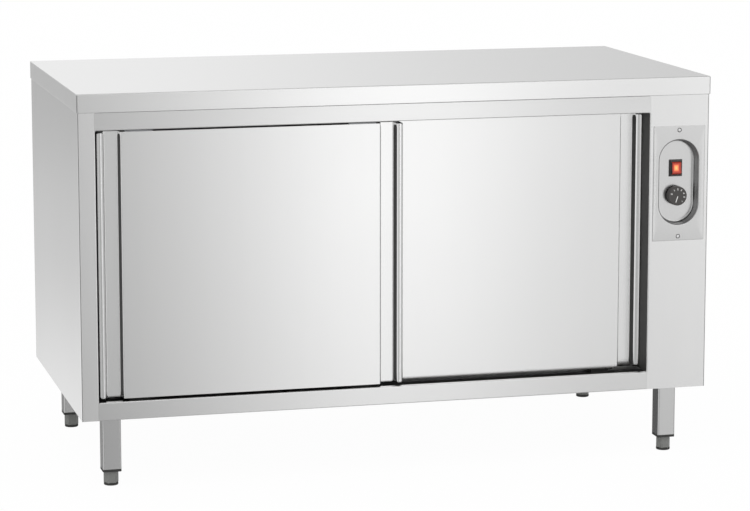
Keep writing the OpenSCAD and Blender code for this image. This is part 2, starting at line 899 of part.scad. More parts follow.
// The rocker: a lens with two sloping faces and a pivot pin through its middle
module rocker() {
    dip = rocker_face - 1;
    color("red")
        on_front(column_cx, dish_floor_y, dish_cz + switch_offset)
            translate([0, 0, pivot_z])
                rotate([-rocker_tilt, 0, 0]) {
                    intersection() {
                        rod_x([-rocker_half_w, 0, 0], rocker_r, rocker_w);
                        along_x(-rocker_half_w, rocker_half_w)
                            polygon([[-rocker_r, -rocker_back], [rocker_r, -rocker_back],
                                     [rocker_r, rocker_face + 1], [0, dip], [-rocker_r, rocker_face + 1]]);
                    }
                    rod_x([-switch_body_w / 2 + bite, 0, 0], pin_r, switch_body_w - 2 * bite);
                }
}

thermostat_w = 38;
thermostat_h = 30;
thermostat_d = 34;
shaft_in = 11;
bush_out = 2.8;

// The thermostat behind the dish, held by a nut on its threaded bush
module thermostat_body() {
    back = -plate_t - thermostat_d;
    color("tan")
        on_front(column_cx, dish_floor_y, dish_cz + knob_offset)
            difference() {
                union() {
                    block([-thermostat_w / 2, -thermostat_h / 2, back],
                          [thermostat_w / 2, thermostat_h / 2, -plate_t]);
                    translate([0, 0, -plate_t - bite]) cylinder(r = bush_r, h = bush_out + plate_t + bite);
                    cylinder(r = bush_r + 3, h = bush_out - 0.6, $fn = 6);
                }
                translate([0, 0, -plate_t - shaft_in])
                    cylinder(r = shaft_r + axle_play, h = shaft_in + plate_t + bush_out + 1);
            }
}

knob_wall = 2.5;
knob_bore_d = 9;
knob_edge = 1.5;

module thermostat_shaft() {
    top = knob_gap + knob_bore_d;
    color("silver")
        on_front(column_cx, dish_floor_y, dish_cz + knob_offset)
            difference() {
                translate([0, 0, -plate_t - shaft_in + roller_clear])
                    cylinder(r = shaft_r, h = top + plate_t + shaft_in - roller_clear);
                block([shaft_r - 1, -shaft_r, knob_gap + 1], [shaft_r + 1, shaft_r, top + 1]);
            }
}

// The knob: a round cap with a bevelled edge, hollow behind round its boss
module thermostat_knob() {
    top = knob_gap + knob_h;
    hollow_d = 3;
    boss_wall = 4;
    color("black")
        on_front(column_cx, dish_floor_y, dish_cz + knob_offset)
            difference() {
                rotate_extrude()
                    polygon([[0, knob_gap], [knob_r, knob_gap], [knob_r, top - knob_edge],
                             [knob_r - knob_edge, top], [0, top]]);
                translate([0, 0, knob_gap - 1]) cylinder(r = shaft_r + axle_play, h = knob_bore_d + 1);
                difference() {
                    translate([0, 0, knob_gap - 1]) cylinder(r = knob_r - knob_wall, h = hollow_d + 1);
                    translate([0, 0, knob_gap - 2]) cylinder(r = shaft_r + boss_wall, h = hollow_d + 3);
                }
            }
}

// The thermostat's sensing bulb in the heated space, and its capillary tube
module thermostat_probe() {
    from_wall = 7;
    clip_half = 3;
    above_knob = 8;
    x = open_x1 - from_wall;
    body_y = dish_floor_y + plate_t + thermostat_d;
    body_z = dish_cz + knob_offset + above_knob;
    tube_x = column_cx;
    color("peru") {
        rod_y([x, capillary_y, probe_z], probe_r, probe_l);
        for (i = [1, 2])
            translate([0, capillary_y + i * probe_l / 3, probe_z])
                block([x, -clip_half, -probe_r - 1], [open_x1, clip_half, probe_r + 1]);
        translate([x, capillary_y, probe_z]) sphere(r = probe_r);
        rod_x([x, capillary_y, probe_z], capillary_r, tube_x - x);
        translate([tube_x, capillary_y, probe_z]) sphere(r = capillary_r);
        translate([tube_x, capillary_y, body_z]) cylinder(r = capillary_r, h = probe_z - body_z);
        translate([tube_x, capillary_y, body_z]) sphere(r = capillary_r);
        rod_y([tube_x, body_y, body_z], capillary_r, capillary_y - body_y);
    }
}

fan_post_edge = 12;
function fan_corners() =
    [for (sy = [-1, 1], sz = [-1, 1]) [sy, sz] * (fan_plate_w / 2 - fan_post_edge)];
heater_pitch = 16;
heater_x = fan_wall_x + fan_gap + fan_w / 2;
heater_leads = [[-heater_r, 0], [heater_r, 0]];

// The fan's mounting plate on four posts that stand on the partition
module fan_bracket() {
    post_r = 5;
    hub_hole_r = 12;
    tube_play = 0.3;
    color("silver")
        difference() {
            union() {
                block([fan_plate_x, fan_back - fan_plate_w / 2, fan_z - fan_plate_w / 2],
                      [fan_plate_x + fan_plate_t, fan_back + fan_plate_w / 2, fan_z + fan_plate_w / 2]);
                for (c = fan_corners())
                    rod_x([fan_wall_x, fan_back + c.x, fan_z + c.y], post_r, fan_plate_x - fan_wall_x + bite);
            }
            rod_x([fan_plate_x - 1, fan_back, fan_z], hub_hole_r, fan_plate_t + 2);
            for (c = heater_leads)
                rod_x([fan_plate_x - 1, fan_back + c.x, fan_z + c.y],
                      heater_tube_r + tube_play, fan_plate_t + 2);
        }
}

// The motor: a round can with a wider stack round its front half
module fan_motor() {
    x = fan_plate_x + fan_plate_t;
    stack_over = 6;
    color("dimgray")
        difference() {
            union() {
                rod_x([x, fan_back, fan_z], motor_r, motor_l);
                rod_x([x + stack_over, fan_back, fan_z], motor_r + stack_over, motor_l / 2);
            }
            rod_x([x - 1, fan_back, fan_z], fan_shaft_r + axle_play, motor_bore + 1);
        }
}

// The fan wheel: a disc, blades and a ring, on a hub and its shaft
module fan_wheel() {
    x0 = fan_wall_x + fan_gap;
    disc_t = 1.5;
    ring_w = 8;
    blade_t = 1.2;
    blade_l = 21;
    blade_edge = 1;
    hub_r = 10;
    hub_l = 14;
    reach = fan_plate_x + fan_plate_t - x0 - fan_w + motor_bore - shaft_short;
    color("silver")
        translate([x0, fan_back, fan_z]) rotate([0, 90, 0]) {
            translate([0, 0, fan_w - disc_t]) cylinder(r = fan_r, h = disc_t);
            difference() {
                cylinder(r = fan_r, h = disc_t);
                translate([0, 0, -1]) cylinder(r = fan_r - ring_w, h = disc_t + 2);
            }
            for (i = [0:fan_blades - 1])
                rotate([0, 0, i * 360 / fan_blades])
                    translate([fan_r - blade_edge - blade_l, -blade_t / 2, 0])
                        cube([blade_l, blade_t, fan_w - disc_t / 2]);
            translate([0, 0, fan_w - hub_l]) {
                cylinder(r = hub_r, h = hub_l);
                cylinder(r = fan_shaft_r, h = hub_l + reach);
            }
        }
}

// Two heating rings round the fan wheel, whose ends pass through the plate
module heating_element() {
    past_plate = 14;
    collar = 4;
    lead_l = fan_plate_x + fan_plate_t - heater_x + heater_pitch / 2 + past_plate;
    color("sienna") {
        for (side = [-1, 1])
            translate([heater_x + side * heater_pitch / 2, fan_back, fan_z])
                rotate([0, 90, 0]) rotate_extrude() translate([heater_r, 0]) circle(r = heater_tube_r);
        for (c = heater_leads) {
            rod_x([heater_x - heater_pitch / 2, fan_back + c.x, fan_z + c.y], heater_tube_r, lead_l);
            rod_x([fan_plate_x + fan_plate_t, fan_back + c.x, fan_z + c.y], heater_tube_r + collar, collar);
        }
    }
}

// The supply's terminal block, on the bottom sheet in front of the gland
module terminal_block() {
    w = 60;
    d = 26;
    h = 24;
    poles = 5;
    pitch = 11;
    screw_hole_r = 2.4;
    screw_hole_d = 8;
    lead_run = 90;
    y = gland_y - lead_run;
    z = body_z0 + panel_t;
    color("ivory")
        difference() {
            block([gland_x - w / 2, y, z], [gland_x + w / 2, y + d, z + h]);
            for (i = [0:poles - 1], s = [0.3, 0.7])
                translate([gland_x + (i - (poles - 1) / 2) * pitch, y + s * d, z + h - screw_hole_d])
                    cylinder(r = screw_hole_r, h = screw_hole_d + 1);
        }
}

// The gland that the supply cord would pass through
module cable_gland() {
    z = body_z0;
    hex_over = 4;
    hex_h = 6;
    nut_h = 5;
    cap_over = 3;
    cap_low = 3;
    cap_h = 13;
    color("dimgray")
        difference() {
            union() {
                translate([gland_x, gland_y, z - gland_out])
                    cylinder(r = gland_r, h = gland_out + panel_t + gland_in);
                translate([gland_x, gland_y, z - hex_h])
                    cylinder(r = gland_r + hex_over, h = hex_h, $fn = 6);
                translate([gland_x, gland_y, z - gland_out + cap_low])
                    cylinder(r = gland_r + cap_over, h = cap_h);
                translate([gland_x, gland_y, z + panel_t])
                    cylinder(r = gland_r + hex_over, h = nut_h, $fn = 6);
            }
            translate([gland_x, gland_y, z - gland_out - 1])
                cylinder(r = gland_bore_r, h = gland_out + panel_t + gland_in + 2);
        }
}

// A leg: a square tube welded to a plate that is bolted under the base
module leg(sx, sy) {
    half = leg_w / 2;
    inner = half - leg_wall;
    top = body_z0 - leg_plate_t;
    plate = leg_plate_w / 2;
    color("darkgray")
        translate([sx * leg_x, sy * leg_y, 0])
            difference() {
                union() {
                    translate([0, 0, leg_foot_h])
                        linear_extrude(top - leg_foot_h + bite) rounded_square(half, leg_corner_r);
                    block([-plate, -plate, top], [plate, plate, body_z0]);
                }
                translate([0, 0, leg_foot_h - 1])
                    linear_extrude(top - leg_foot_h + 1)
                        rounded_square(inner, leg_corner_r - leg_wall);
                for (bx = [-1, 1], by = [-1, 1])
                    translate([bx * leg_bolt_pitch / 2, by * leg_bolt_pitch / 2, top - 1])
                        cylinder(r = leg_bolt_r + screw_play, h = leg_plate_t + 2);
            }
}

module rounded_square(half, r) {
    square([2 * half, 2 * (half - r)], center = true);
    square([2 * (half - r), 2 * half], center = true);
    for (cx = [-1, 1], cy = [-1, 1])
        translate([cx, cy] * (half - r)) circle(r = r);
}

// The leg bolts with their nuts, and the screws of the rear panel
module carcass_screws() {
    low = body_z0 - leg_plate_t;
    head_h = 4;
    nut_h = 5;
    past_nut = 8;
    rear_head_r = 4;
    rear_head_h = 1.6;
    color("silver") {
        for (sx = [-1, 1], sy = [-1, 1], bx = [-1, 1], by = [-1, 1])
            translate([sx * leg_x + bx * leg_bolt_pitch / 2, sy * leg_y + by * leg_bolt_pitch / 2, 0]) {
                translate([0, 0, low - head_h]) cylinder(r = nut_r, h = head_h, $fn = 6);
                translate([0, 0, low - bite]) cylinder(r = leg_bolt_r, h = leg_plate_t + panel_t + past_nut);
                translate([0, 0, body_z0 + panel_t]) cylinder(r = nut_r, h = nut_h, $fn = 6);
            }
        for (side = [-1, 1], i = [0:rear_screw_rows - 1]) {
            rod_y([side * (right_x - rear_flange / 2), back_y, rear_screw_z(i)],
                  rear_head_r, rear_head_h);
            rod_y([side * (right_x - rear_flange / 2), back_y - rear_screw_l, rear_screw_z(i)],
                  rear_screw_r, rear_screw_l + bite);
        }
    }
}

// Black plugs in the leg ends, with a thread for the foot
module leg_inserts() {
    inner = leg_w / 2 - leg_wall;
    color("black")
        for (sx = [-1, 1], sy = [-1, 1])
            translate([sx * leg_x, sy * leg_y, 0])
                difference() {
                    union() {
                        translate([0, 0, insert_z0])
                            linear_extrude(insert_h) rounded_square(leg_w / 2, leg_corner_r);
                        translate([0, 0, leg_foot_h - bite])
                            linear_extrude(insert_plug + bite)
                                rounded_square(inner, leg_corner_r - leg_wall);
                    }
                    translate([0, 0, insert_z0 - 1])
                        cylinder(r = stud_r + stud_play, h = insert_h + insert_plug + 2);
                }
}

// A foot: a hexagon to turn it by, on a round sole, with a threaded stud
module foot(sx, sy) {
    sole_in = 1;
    color("black")
        translate([sx * leg_x, sy * leg_y, 0]) {
            cylinder(r = foot_w / 2 - sole_in, h = sole_h);
            translate([0, 0, sole_h - bite])
                cylinder(r = foot_w / 2, h = foot_top - sole_h + bite, $fn = 6);
            translate([0, 0, foot_top - bite]) cylinder(r = stud_r, h = stud_top - foot_top + bite);
        }
}

worktop();
worktop_stiffeners();
left_side_panel();
right_side_panel();
left_stile();
control_column();
top_rail();
bottom_rail();
rear_panel();
base_panel();
left_liner();
partition();
rear_liner();
ceiling_liner();
deck();
insulation_boards();
shelf_rail(open_x0, 1);  // shelf_rail_left
shelf_rail(open_x1, -1);  // shelf_rail_right
shelf();
door_track();
bottom_guide();
control_plate();
plate_screws();
switch_body();
thermostat_body();
thermostat_probe();
fan_motor();
fan_bracket();
heating_element();
terminal_block();
cable_gland();
leg(-1, -1);  // leg_front_left
leg(1, -1);  // leg_front_right
leg(-1, 1);  // leg_rear_left
leg(1, 1);  // leg_rear_right
carcass_screws();
leg_inserts();
foot(-1, -1);  // foot_front_left
foot(1, -1);  // foot_front_right
foot(-1, 1);  // foot_rear_left
foot(1, 1);  // foot_rear_right
door_skin(front_door_x, front_door_y);  // front_door_skin
door_back(front_door_x, front_door_y);  // front_door_back
door_filling(front_door_x, front_door_y);  // front_door_filling
door_hangers(front_door_x, front_door_y);  // front_door_hangers
door_glides(front_door_x, front_door_y);  // front_door_glides
door_roller(hanger_places(front_door_x)[0], front_door_y);  // front_roller_left
door_roller(hanger_places(front_door_x)[1], front_door_y);  // front_roller_right
door_skin(rear_door_x, rear_door_y);  // rear_door_skin
door_back(rear_door_x, rear_door_y);  // rear_door_back
door_filling(rear_door_x, rear_door_y);  // rear_door_filling
door_hangers(rear_door_x, rear_door_y);  // rear_door_hangers
door_glides(rear_door_x, rear_door_y);  // rear_door_glides
door_roller(hanger_places(rear_door_x)[0], rear_door_y);  // rear_roller_left
door_roller(hanger_places(rear_door_x)[1], rear_door_y);  // rear_roller_right
thermostat_knob();
thermostat_shaft();
rocker();
fan_wheel();
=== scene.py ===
import math

import bmesh
import bpy
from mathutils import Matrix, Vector


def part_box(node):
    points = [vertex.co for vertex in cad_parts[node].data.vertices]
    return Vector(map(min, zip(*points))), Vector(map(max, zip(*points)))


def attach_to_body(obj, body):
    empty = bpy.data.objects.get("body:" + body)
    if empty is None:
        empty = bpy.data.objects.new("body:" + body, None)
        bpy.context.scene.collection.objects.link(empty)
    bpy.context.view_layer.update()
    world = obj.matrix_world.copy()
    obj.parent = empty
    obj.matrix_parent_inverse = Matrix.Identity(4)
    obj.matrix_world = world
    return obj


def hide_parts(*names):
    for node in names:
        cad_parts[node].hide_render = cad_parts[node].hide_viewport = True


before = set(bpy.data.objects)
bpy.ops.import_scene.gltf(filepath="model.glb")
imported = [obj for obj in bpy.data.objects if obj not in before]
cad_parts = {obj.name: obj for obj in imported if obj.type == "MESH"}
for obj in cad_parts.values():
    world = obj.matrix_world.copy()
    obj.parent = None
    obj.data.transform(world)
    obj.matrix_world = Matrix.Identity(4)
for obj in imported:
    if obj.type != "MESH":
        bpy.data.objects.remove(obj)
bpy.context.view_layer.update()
scene = bpy.context.scene

# The view: a long lens to the left of the cabinet and a little above its worktop, set so that
# the cabinet's corners fall where the photograph has them. The frame is cut a little low out of
# the lens's picture, so that the uprights lean as little as they do there.
lens = bpy.data.cameras.new("camera")
lens.sensor_width = 36
lens.lens = 136.02
lens.shift_y = -0.0660
lens.clip_end = 200
camera = bpy.data.objects.new("camera", lens)
camera.location = (-1.58164, -6.14292, 1.52190)
camera_down, camera_turn = 8.830, -14.704
camera.rotation_euler = (math.radians(90 - camera_down), 0, math.radians(camera_turn))
scene.collection.objects.link(camera)
scene.camera = camera
scene.view_settings.view_transform = "Standard"


# The studio: a pale floor and white walls, which polished steel sees as soft bright and dark
# bands. The walls are one smooth brightness by direction; a wide lamp above gives the floor its
# soft shadow.
class Value:
    """A socket that can be used in sums."""

    def __init__(self, paint, socket):
        self.paint, self.socket = paint, socket

    def output(self, name):
        """Another output of the node that this one comes from."""
        return Value(self.paint, self.socket.node.outputs[name])

    def maths(self, operation, first, second):
        return self.paint.node("ShaderNodeMath", {"operation": operation}, {0: first, 1: second})

    def __add__(self, other):
        return self.maths("ADD", self, other)

    def __radd__(self, other):
        return self.maths("ADD", other, self)

    def __sub__(self, other):
        return self.maths("SUBTRACT", self, other)

    def __rsub__(self, other):
        return self.maths("SUBTRACT", other, self)

    def __mul__(self, other):
        return self.maths("MULTIPLY", self, other)

    def __rmul__(self, other):
        return self.maths("MULTIPLY", other, self)


class Paint:
    """A node tree that nodes are added to."""

    def __init__(self, tree):
        self.tree = tree
        tree.nodes.clear()

    def node(self, kind, settings, inputs, output=0):
        made = self.tree.nodes.new(kind)
        for name, setting in settings.items():
            if name == "stops":
                ramp = made.color_ramp
                while len(ramp.elements) > 1:
                    ramp.elements.remove(ramp.elements[-1])
                for place, shade in setting:
                    first = place == setting[0][0]
                    stop = ramp.elements[0] if first else ramp.elements.new(place)
                    stop.position = place
                    stop.color = (*shade, 1) if isinstance(shade, tuple) else (shade,) * 3 + (1,)
            elif name == "interpolation":
                made.color_ramp.interpolation = setting
            else:
                setattr(made, name, setting)
        for name, given in inputs.items():
            if isinstance(given, Value):
                self.tree.links.new(given.socket, made.inputs[name])
            else:
                made.inputs[name].default_value = given
        return Value(self, made.outputs[output]) if made.outputs else made


def graded(paint, stops, at):
    """A shade that runs smoothly through stops of (place from 0 to 1, shade)."""
    return paint.node("ShaderNodeValToRGB", {"interpolation": "EASE", "stops": stops}, {0: at})


brightest_wall = 1.8
wall_by_turn = [
    (-180, 1), (-171, 0.95), (-160, 0.12), (-148, 0.12), (-120, 0.45), (-90, 1.05), (-62, 1),
    (-50, 0.9), (-42, 0.8), (-30, 0.7), (-20, 0.6), (-8, 0.5), (2, 0.41), (6, 0.29), (8, 0.39),
    (10, 0.61), (12, 0.75), (13.5, 1.36), (15.6, 1.74), (17.5, 1.09), (19, 0.39), (20.5, 0.54),
    (22, 1.03), (26, 1.23), (38, 0.62), (60, 0.6), (90, 0.55), (115, 0.5), (140, 0.6),
    (158, 0.72), (172, 1), (180, 1),
]
wall_by_height_front = [
    (-1, 0.5), (-0.4, 0.58), (-0.25, 0.74), (-0.2, 0.88), (-0.15, 0.98), (-0.12, 1.0), (1, 0.95),
]
wall_by_height_back = [
    (-1, 0.6), (-0.35, 0.8), (-0.23, 1.05), (-0.16, 0.76), (-0.11, 0.6), (-0.02, 0.75),
    (0.1, 1.0), (1, 0.95),
]
world = bpy.data.worlds.new("studio")
scene.world = world
world.use_nodes = True
world.cycles.sampling_method = "NONE"
walls = Paint(world.node_tree)
way = walls.node("ShaderNodeSeparateXYZ", {}, {0: walls.node("ShaderNodeTexCoord", {}, {})})
way_x, way_y, way_z = (way.output(axis) for axis in "XYZ")
turn = walls.node("ShaderNodeMath", {"operation": "ARCTAN2"}, {0: way_x, 1: 0 - way_y})
by_turn = graded(
    walls,
    [(0.5 + degrees / 360, shade / brightest_wall) for degrees, shade in wall_by_turn],
    turn * (1 / math.tau) + 0.5,
)
height = way_z * 0.5 + 0.5
in_front, in_back = (
    graded(walls, [(0.5 + up / 2, shade) for up, shade in stops], height)
    for stops in (wall_by_height_front, wall_by_height_back)
)
behind = walls.node("ShaderNodeMapRange", {}, {"Value": way_y, "From Min": -0.5, "From Max": 0.5})
seen_in_steel = by_turn * brightest_wall * (in_front + behind * (in_back - in_front))
ray = walls.node("ShaderNodeLightPath", {}, {})
seen, glossy = ray.output("Is Camera Ray"), ray.output("Is Glossy Ray")
on_matt = 0.82
strength = seen + (1 - seen) * (glossy * seen_in_steel + (1 - glossy) * on_matt)
lit = walls.node("ShaderNodeBackground", {}, {"Color": (1, 1, 1, 1), "Strength": strength})
walls.node("ShaderNodeOutputWorld", {}, {"Surface": lit})

lamp = bpy.data.lights.new("overhead", "SUN")
lamp.energy = 0.7
lamp.angle = math.radians(50)
overhead = bpy.data.objects.new("overhead", lamp)
overhead.rotation_euler = (math.radians(28), math.radians(-18), 0)
overhead.visible_glossy = False
scene.collection.objects.link(overhead)


def new_material(name):
    """A material and the Paint that fills it."""
    material = bpy.data.materials.new(name)
    material.use_nodes = True
    return material, Paint(material.node_tree)


def new_object(name, points, faces):
    """An object from points in millimetres, in the row frame."""
    mesh = bpy.data.meshes.new(name)
    mesh.from_pydata([Vector(p) / 1000 for p in points], [], faces)
    work = bmesh.new()
    work.from_mesh(mesh)
    bmesh.ops.recalc_face_normals(work, faces=work.faces)
    work.to_mesh(mesh)
    work.free()
    made = bpy.data.objects.new(name, mesh)
    scene.collection.objects.link(made)
    return made


floor_reach, white_share = 60000, 0.97
floor = new_object(
    "floor",
    [(x * floor_reach, y * floor_reach, 0) for x, y in ((-1, -1), (1, -1), (1, 1), (-1, 1))],
    [(0, 1, 2, 3)],
)
floor_finish, paint = new_material("pale_floor")
ray = paint.node("ShaderNodeLightPath", {}, {})
background = ray.output("Is Camera Ray") + ray.output("Is Glossy Ray")
background = (background + ray.output("Is Transmission Ray")) * white_share
matt = paint.node("ShaderNodeBsdfDiffuse", {}, {"Color": (0.92, 0.92, 0.92, 1)})
white = paint.node("ShaderNodeEmission", {}, {"Color": (1, 1, 1, 1)})
look = paint.node("ShaderNodeMixShader", {}, {0: background, 1: matt, 2: white})
paint.node("ShaderNodeOutputMaterial", {}, {"Surface": look})
floor.data.materials.append(floor_finish)
floor.visible_glossy = False


# The casing: side panels, stile, rails, control column, rear and base panel, of 1.2 mm stainless
# sheet ground with a fine belt, folded on a press brake and spot-welded. The grain runs upright
# on the uprights and lengthwise on the rails.
def object_place(paint):
    return paint.node("ShaderNodeTexCoord", {}, {}, output="Object")


def noise(paint, scale, stretch=(1, 1, 1), detail=2.0, rough=0.5):
    """Noise from 0 to 1, drawn out by stretch along X, Y and Z."""
    place = {"Vector": object_place(paint), "Scale": stretch}
    place = paint.node("ShaderNodeMapping", {}, place)
    sockets = {"Vector": place, "Scale": scale, "Detail": detail, "Roughness": rough}
    return paint.node("ShaderNodeTexNoise", {}, sockets)


def blend_colours(paint, share, one, two):
    sockets = {0: share, 6: (*one, 1), 7: (*two, 1)}
    return paint.node("ShaderNodeMix", {"data_type": "RGBA"}, sockets, output=2)


def bumped(paint, height, depth_mm, strength=1.0):
    sockets = {"Height": height, "Distance": depth_mm / 1000, "Strength": strength}
    return paint.node("ShaderNodeBump", {}, sockets)


def surfaced(paint, sockets):
    """Ends a material with the shader that takes these sockets."""
    look = paint.node("ShaderNodeBsdfPrincipled", {}, sockets)
    paint.node("ShaderNodeOutputMaterial", {}, {"Surface": look})


streak_scale, band_scale, cloud_scale, drawn_out, uneven = 900, 70, 2.2, 0.012, 0.04


def brushed(name, shade, rough, grain):
    """Ground steel: streaks along the grain, with faint clouds from handling."""
    material, paint = new_material(name)
    along = {"x": (drawn_out, 1, 1), "z": (1, 1, drawn_out)}[grain]
    streaks = noise(paint, streak_scale, along, 3.0, 0.7)
    bands = noise(paint, band_scale, along)
    clouds = noise(paint, cloud_scale, detail=3.0)
    tone = streaks * 0.4 + bands * 0.3 + clouds * 0.3
    low, high = shade * (1 - uneven), shade * (1 + uneven)
    surfaced(paint, {
        "Metallic": 1.0,
        "Base Color": blend_colours(paint, tone, (low, low, low), (high, high, high * 0.995)),
        "Roughness": rough - 0.03 + streaks * 0.04 + clouds * 0.03,
        "Normal": bumped(paint, streaks, 0.004, 0.5),
    })
    return material


def dress(material, *nodes):
    """Gives CAD nodes their finish."""
    for node in nodes:
        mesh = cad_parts[node].data
        mesh.materials.clear()
        mesh.materials.append(material)


upright_steel = brushed("upright_steel", 0.80, 0.17, "z")
lengthwise_steel = brushed("lengthwise_steel", 0.80, 0.17, "x")
# The stile and the column take lighter copies of the casing's steel: painted light.
stile_steel_painted_light = brushed("stile_steel_painted_light", 0.96, 0.17, "z")
column_steel_painted_light = brushed("column_steel_painted_light", 0.87, 0.17, "z")
dress(upright_steel, "left_side_panel", "right_side_panel", "rear_panel")
dress(stile_steel_painted_light, "left_stile")
dress(column_steel_painted_light, "control_column")
dress(lengthwise_steel, "top_rail", "bottom_rail", "base_panel")


# The joints of the front frame: the rails meet the stile and the column edge to edge, are welded
# there, and the weld is ground flush, so that only a soft line shows at each end of a rail.
def box_mm(node):
    """The low and the high corner of a CAD node's box."""
    return [Vector(corner) * 1000 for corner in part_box(node)]


def loft(rings, capped=True):
    """Points and faces of a skin over rings of equally many points."""
    n = len(rings[0])
    faces = [
        (a * n + i, a * n + (i + 1) % n, (a + 1) * n + (i + 1) % n, (a + 1) * n + i)
        for a in range(len(rings) - 1)
        for i in range(n)
    ]
    if capped:
        faces += [tuple(range(n)), tuple((len(rings) - 1) * n + i for i in range(n))]
    return [p for ring in rings for p in ring], faces


def upright_bar(name, outline, bottom, top):
    """A bar with one outline of (x, y) from one height to another."""
    return new_object(name, *loft([[(x, y, z) for x, y in outline] for z in (bottom, top)]))


def attach(made, material, body):
    """A finish, and the body that the piece moves with."""
    made.data.materials.append(material)
    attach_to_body(made, body)


top_rail_low, top_rail_high = box_mm("top_rail")
low_rail_low, low_rail_high = box_mm("bottom_rail")
weld_half, weld_deep, weld_proud = 1.8, 0.8, 0.02
for level, low, high in (
    ("upper", top_rail_low, top_rail_high),
    ("lower", low_rail_low, low_rail_high),
):
    face = low.y - weld_proud
    for side, x in (("left", low.x), ("right", high.x)):
        outline = [(x - weld_half, face), (x + weld_half, face)]
        outline += [(x + weld_half, face + weld_deep), (x - weld_half, face + weld_deep)]
        joint_piece = upright_bar(level + "_" + side + "_ground_weld", outline, low.z, high.z)
        attach(joint_piece, lengthwise_steel, "cabinet")


# The casing's front corners: stile and column are welded to the side panels over their whole
# height. A thin dark steel band down each corner is painted shade, standing in for the dark that
# the rounded corner reflects; it is a little wider on the left.
painted_shade_steel = brushed("painted_shade_steel", 0.32, 0.3, "z")
casing_low, casing_high = box_mm("left_side_panel")
line_proud, line_thick = 0.04, 0.3
front = top_rail_low.y - line_proud
for side, x, inward, wide in (
    ("left", casing_low.x, 1, 1.3),
    ("right", box_mm("right_side_panel")[1].x, -1, 0.9),
):
    edge_x, reach_x = x - inward * line_proud, x + inward * wide
    behind_x = edge_x + inward * line_thick
    outline = [(edge_x, front), (reach_x, front), (reach_x, front + line_thick)]
    outline += [(behind_x, front + line_thick), (behind_x, front + wide), (edge_x, front + wide)]
    shade_band = upright_bar(side + "_corner_shade_band", outline, casing_low.z, casing_high.z)
    attach(shade_band, painted_shade_steel, "cabinet")


# The worktop: one sheet of 1.5 mm stainless with a 40 mm edge folded down all round and a hem
# turned in below. Its corners are welded and ground round; it sits on the casing.
def frame_ring(half_x, half_y, z, r, steps=8):
    """A rectangle with round corners, as a ring of points."""
    ring = []
    for turn, (sx, sy) in enumerate(((1, 1), (-1, 1), (-1, -1), (1, -1))):
        for i in range(steps + 1):
            a = math.radians(turn * 90 + 90 * i / steps)
            ring.append((
                sx * (half_x - r) + r * math.cos(a),
                sy * (half_y - r) + r * math.sin(a),
                z,
            ))
    return ring


def arc(x, z, r, start, end, steps=6):
    """Points of an arc about (x, z), from one angle to another in degrees."""
    turns = [math.radians(start + (end - start) * i / steps) for i in range(steps + 1)]
    return [(x + r * math.cos(a), z + r * math.sin(a)) for a in turns]


def finish_piece(made, material, body, nodes=(), sharp=35):
    """Smooth rounds, crisp edges, a finish, a body, and the CAD nodes that the piece replaces."""
    made.data.shade_smooth()
    made.data.set_sharp_from_angle(angle=math.radians(sharp))
    even = made.modifiers.new("even_shading", "WEIGHTED_NORMAL")
    even.keep_sharp = True
    attach(made, material, body)
    if nodes:
        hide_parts(*nodes)


top_low, top_high = box_mm("worktop")
top_sheet, top_hem, top_fold, hem_fold, inner_fold, corner_round = 1.5, 14, 2.5, 1.2, 1, 3
under_reach, sharpest_corner = 6, 0.4
edge_high = top_high.z - top_low.z
top_section = [(under_reach, edge_high - top_sheet)]
fold_x, fold_z = top_sheet + inner_fold, edge_high - top_sheet - inner_fold
top_section += arc(fold_x, fold_z, inner_fold, 90, 180)
top_section += [(top_sheet, top_sheet + 0.5), (top_sheet + 0.5, top_sheet)]
top_section += [(top_hem, top_sheet), (top_hem, 0)]
top_section += arc(hem_fold, hem_fold, hem_fold, 270, 180)
top_section += arc(top_fold, edge_high - top_fold, top_fold, 180, 90)
rings = [
    frame_ring(
        top_high.x - inset, top_high.y - inset, top_low.z + up,
        max(corner_round - inset, sharpest_corner),
    )
    for inset, up in top_section
]
worktop = new_object("worktop_sheet", *loft(rings))
worktop_steel = brushed("worktop_ground_steel", 0.76, 0.2, "x")
finish_piece(worktop, worktop_steel, "cabinet", ["worktop"])
# The folded edge's faces take a lighter copy of the worktop's steel: painted light.
worktop.data.materials.append(brushed("worktop_edge_steel_painted_lighter", 0.9, 0.18, "x"))
for face in worktop.data.polygons:
    face.material_index = 1 if abs(face.normal.z) < 0.3 else 0
# Dark bands on the worktop's two front corners are painted shade, standing in for the dark that the
# round corners reflect.
corner_proud, corner_deep, corner_sweep, hem_clear = 0.03, 0.3, 46, 0.3
for side, x, start in (
    ("left", top_low.x + corner_round, 202),
    ("right", top_high.x - corner_round, 292),
):
    y, end = top_low.y + corner_round, start + corner_sweep
    band = arc(x, y, corner_round + corner_proud, start, end)
    band += arc(x, y, corner_round - corner_deep, end, start)
    bottom, top = top_low.z + hem_fold + hem_clear, top_high.z - top_fold
    joint_piece = upright_bar("worktop_%s_corner_painted_shade" % side, band, bottom, top)
    finish_piece(joint_piece, painted_shade_steel, "cabinet")


# Linings, shelf and stiffening channels: thinner stainless sheet with a cold-rolled, duller face,
# and boards of mineral wool between linings and casing.
lining_steel = brushed("lining_steel", 0.66, 0.34, "z")
dress(
    lining_steel, "left_liner", "partition", "rear_liner", "ceiling_liner", "deck",
    "shelf_rail_left", "shelf_rail_right", "shelf", "worktop_stiffeners",
)
wool, paint = new_material("mineral_wool")
fibres = noise(paint, 260, (1, 1, 4), 6.0, 0.7)
surfaced(paint, {
    "Base Color": blend_colours(paint, fibres, (0.30, 0.25, 0.14), (0.62, 0.54, 0.34)),
    "Roughness": 0.95,
    "Normal": bumped(paint, fibres, 1.5),
})
dress(wool, "insulation_boards")


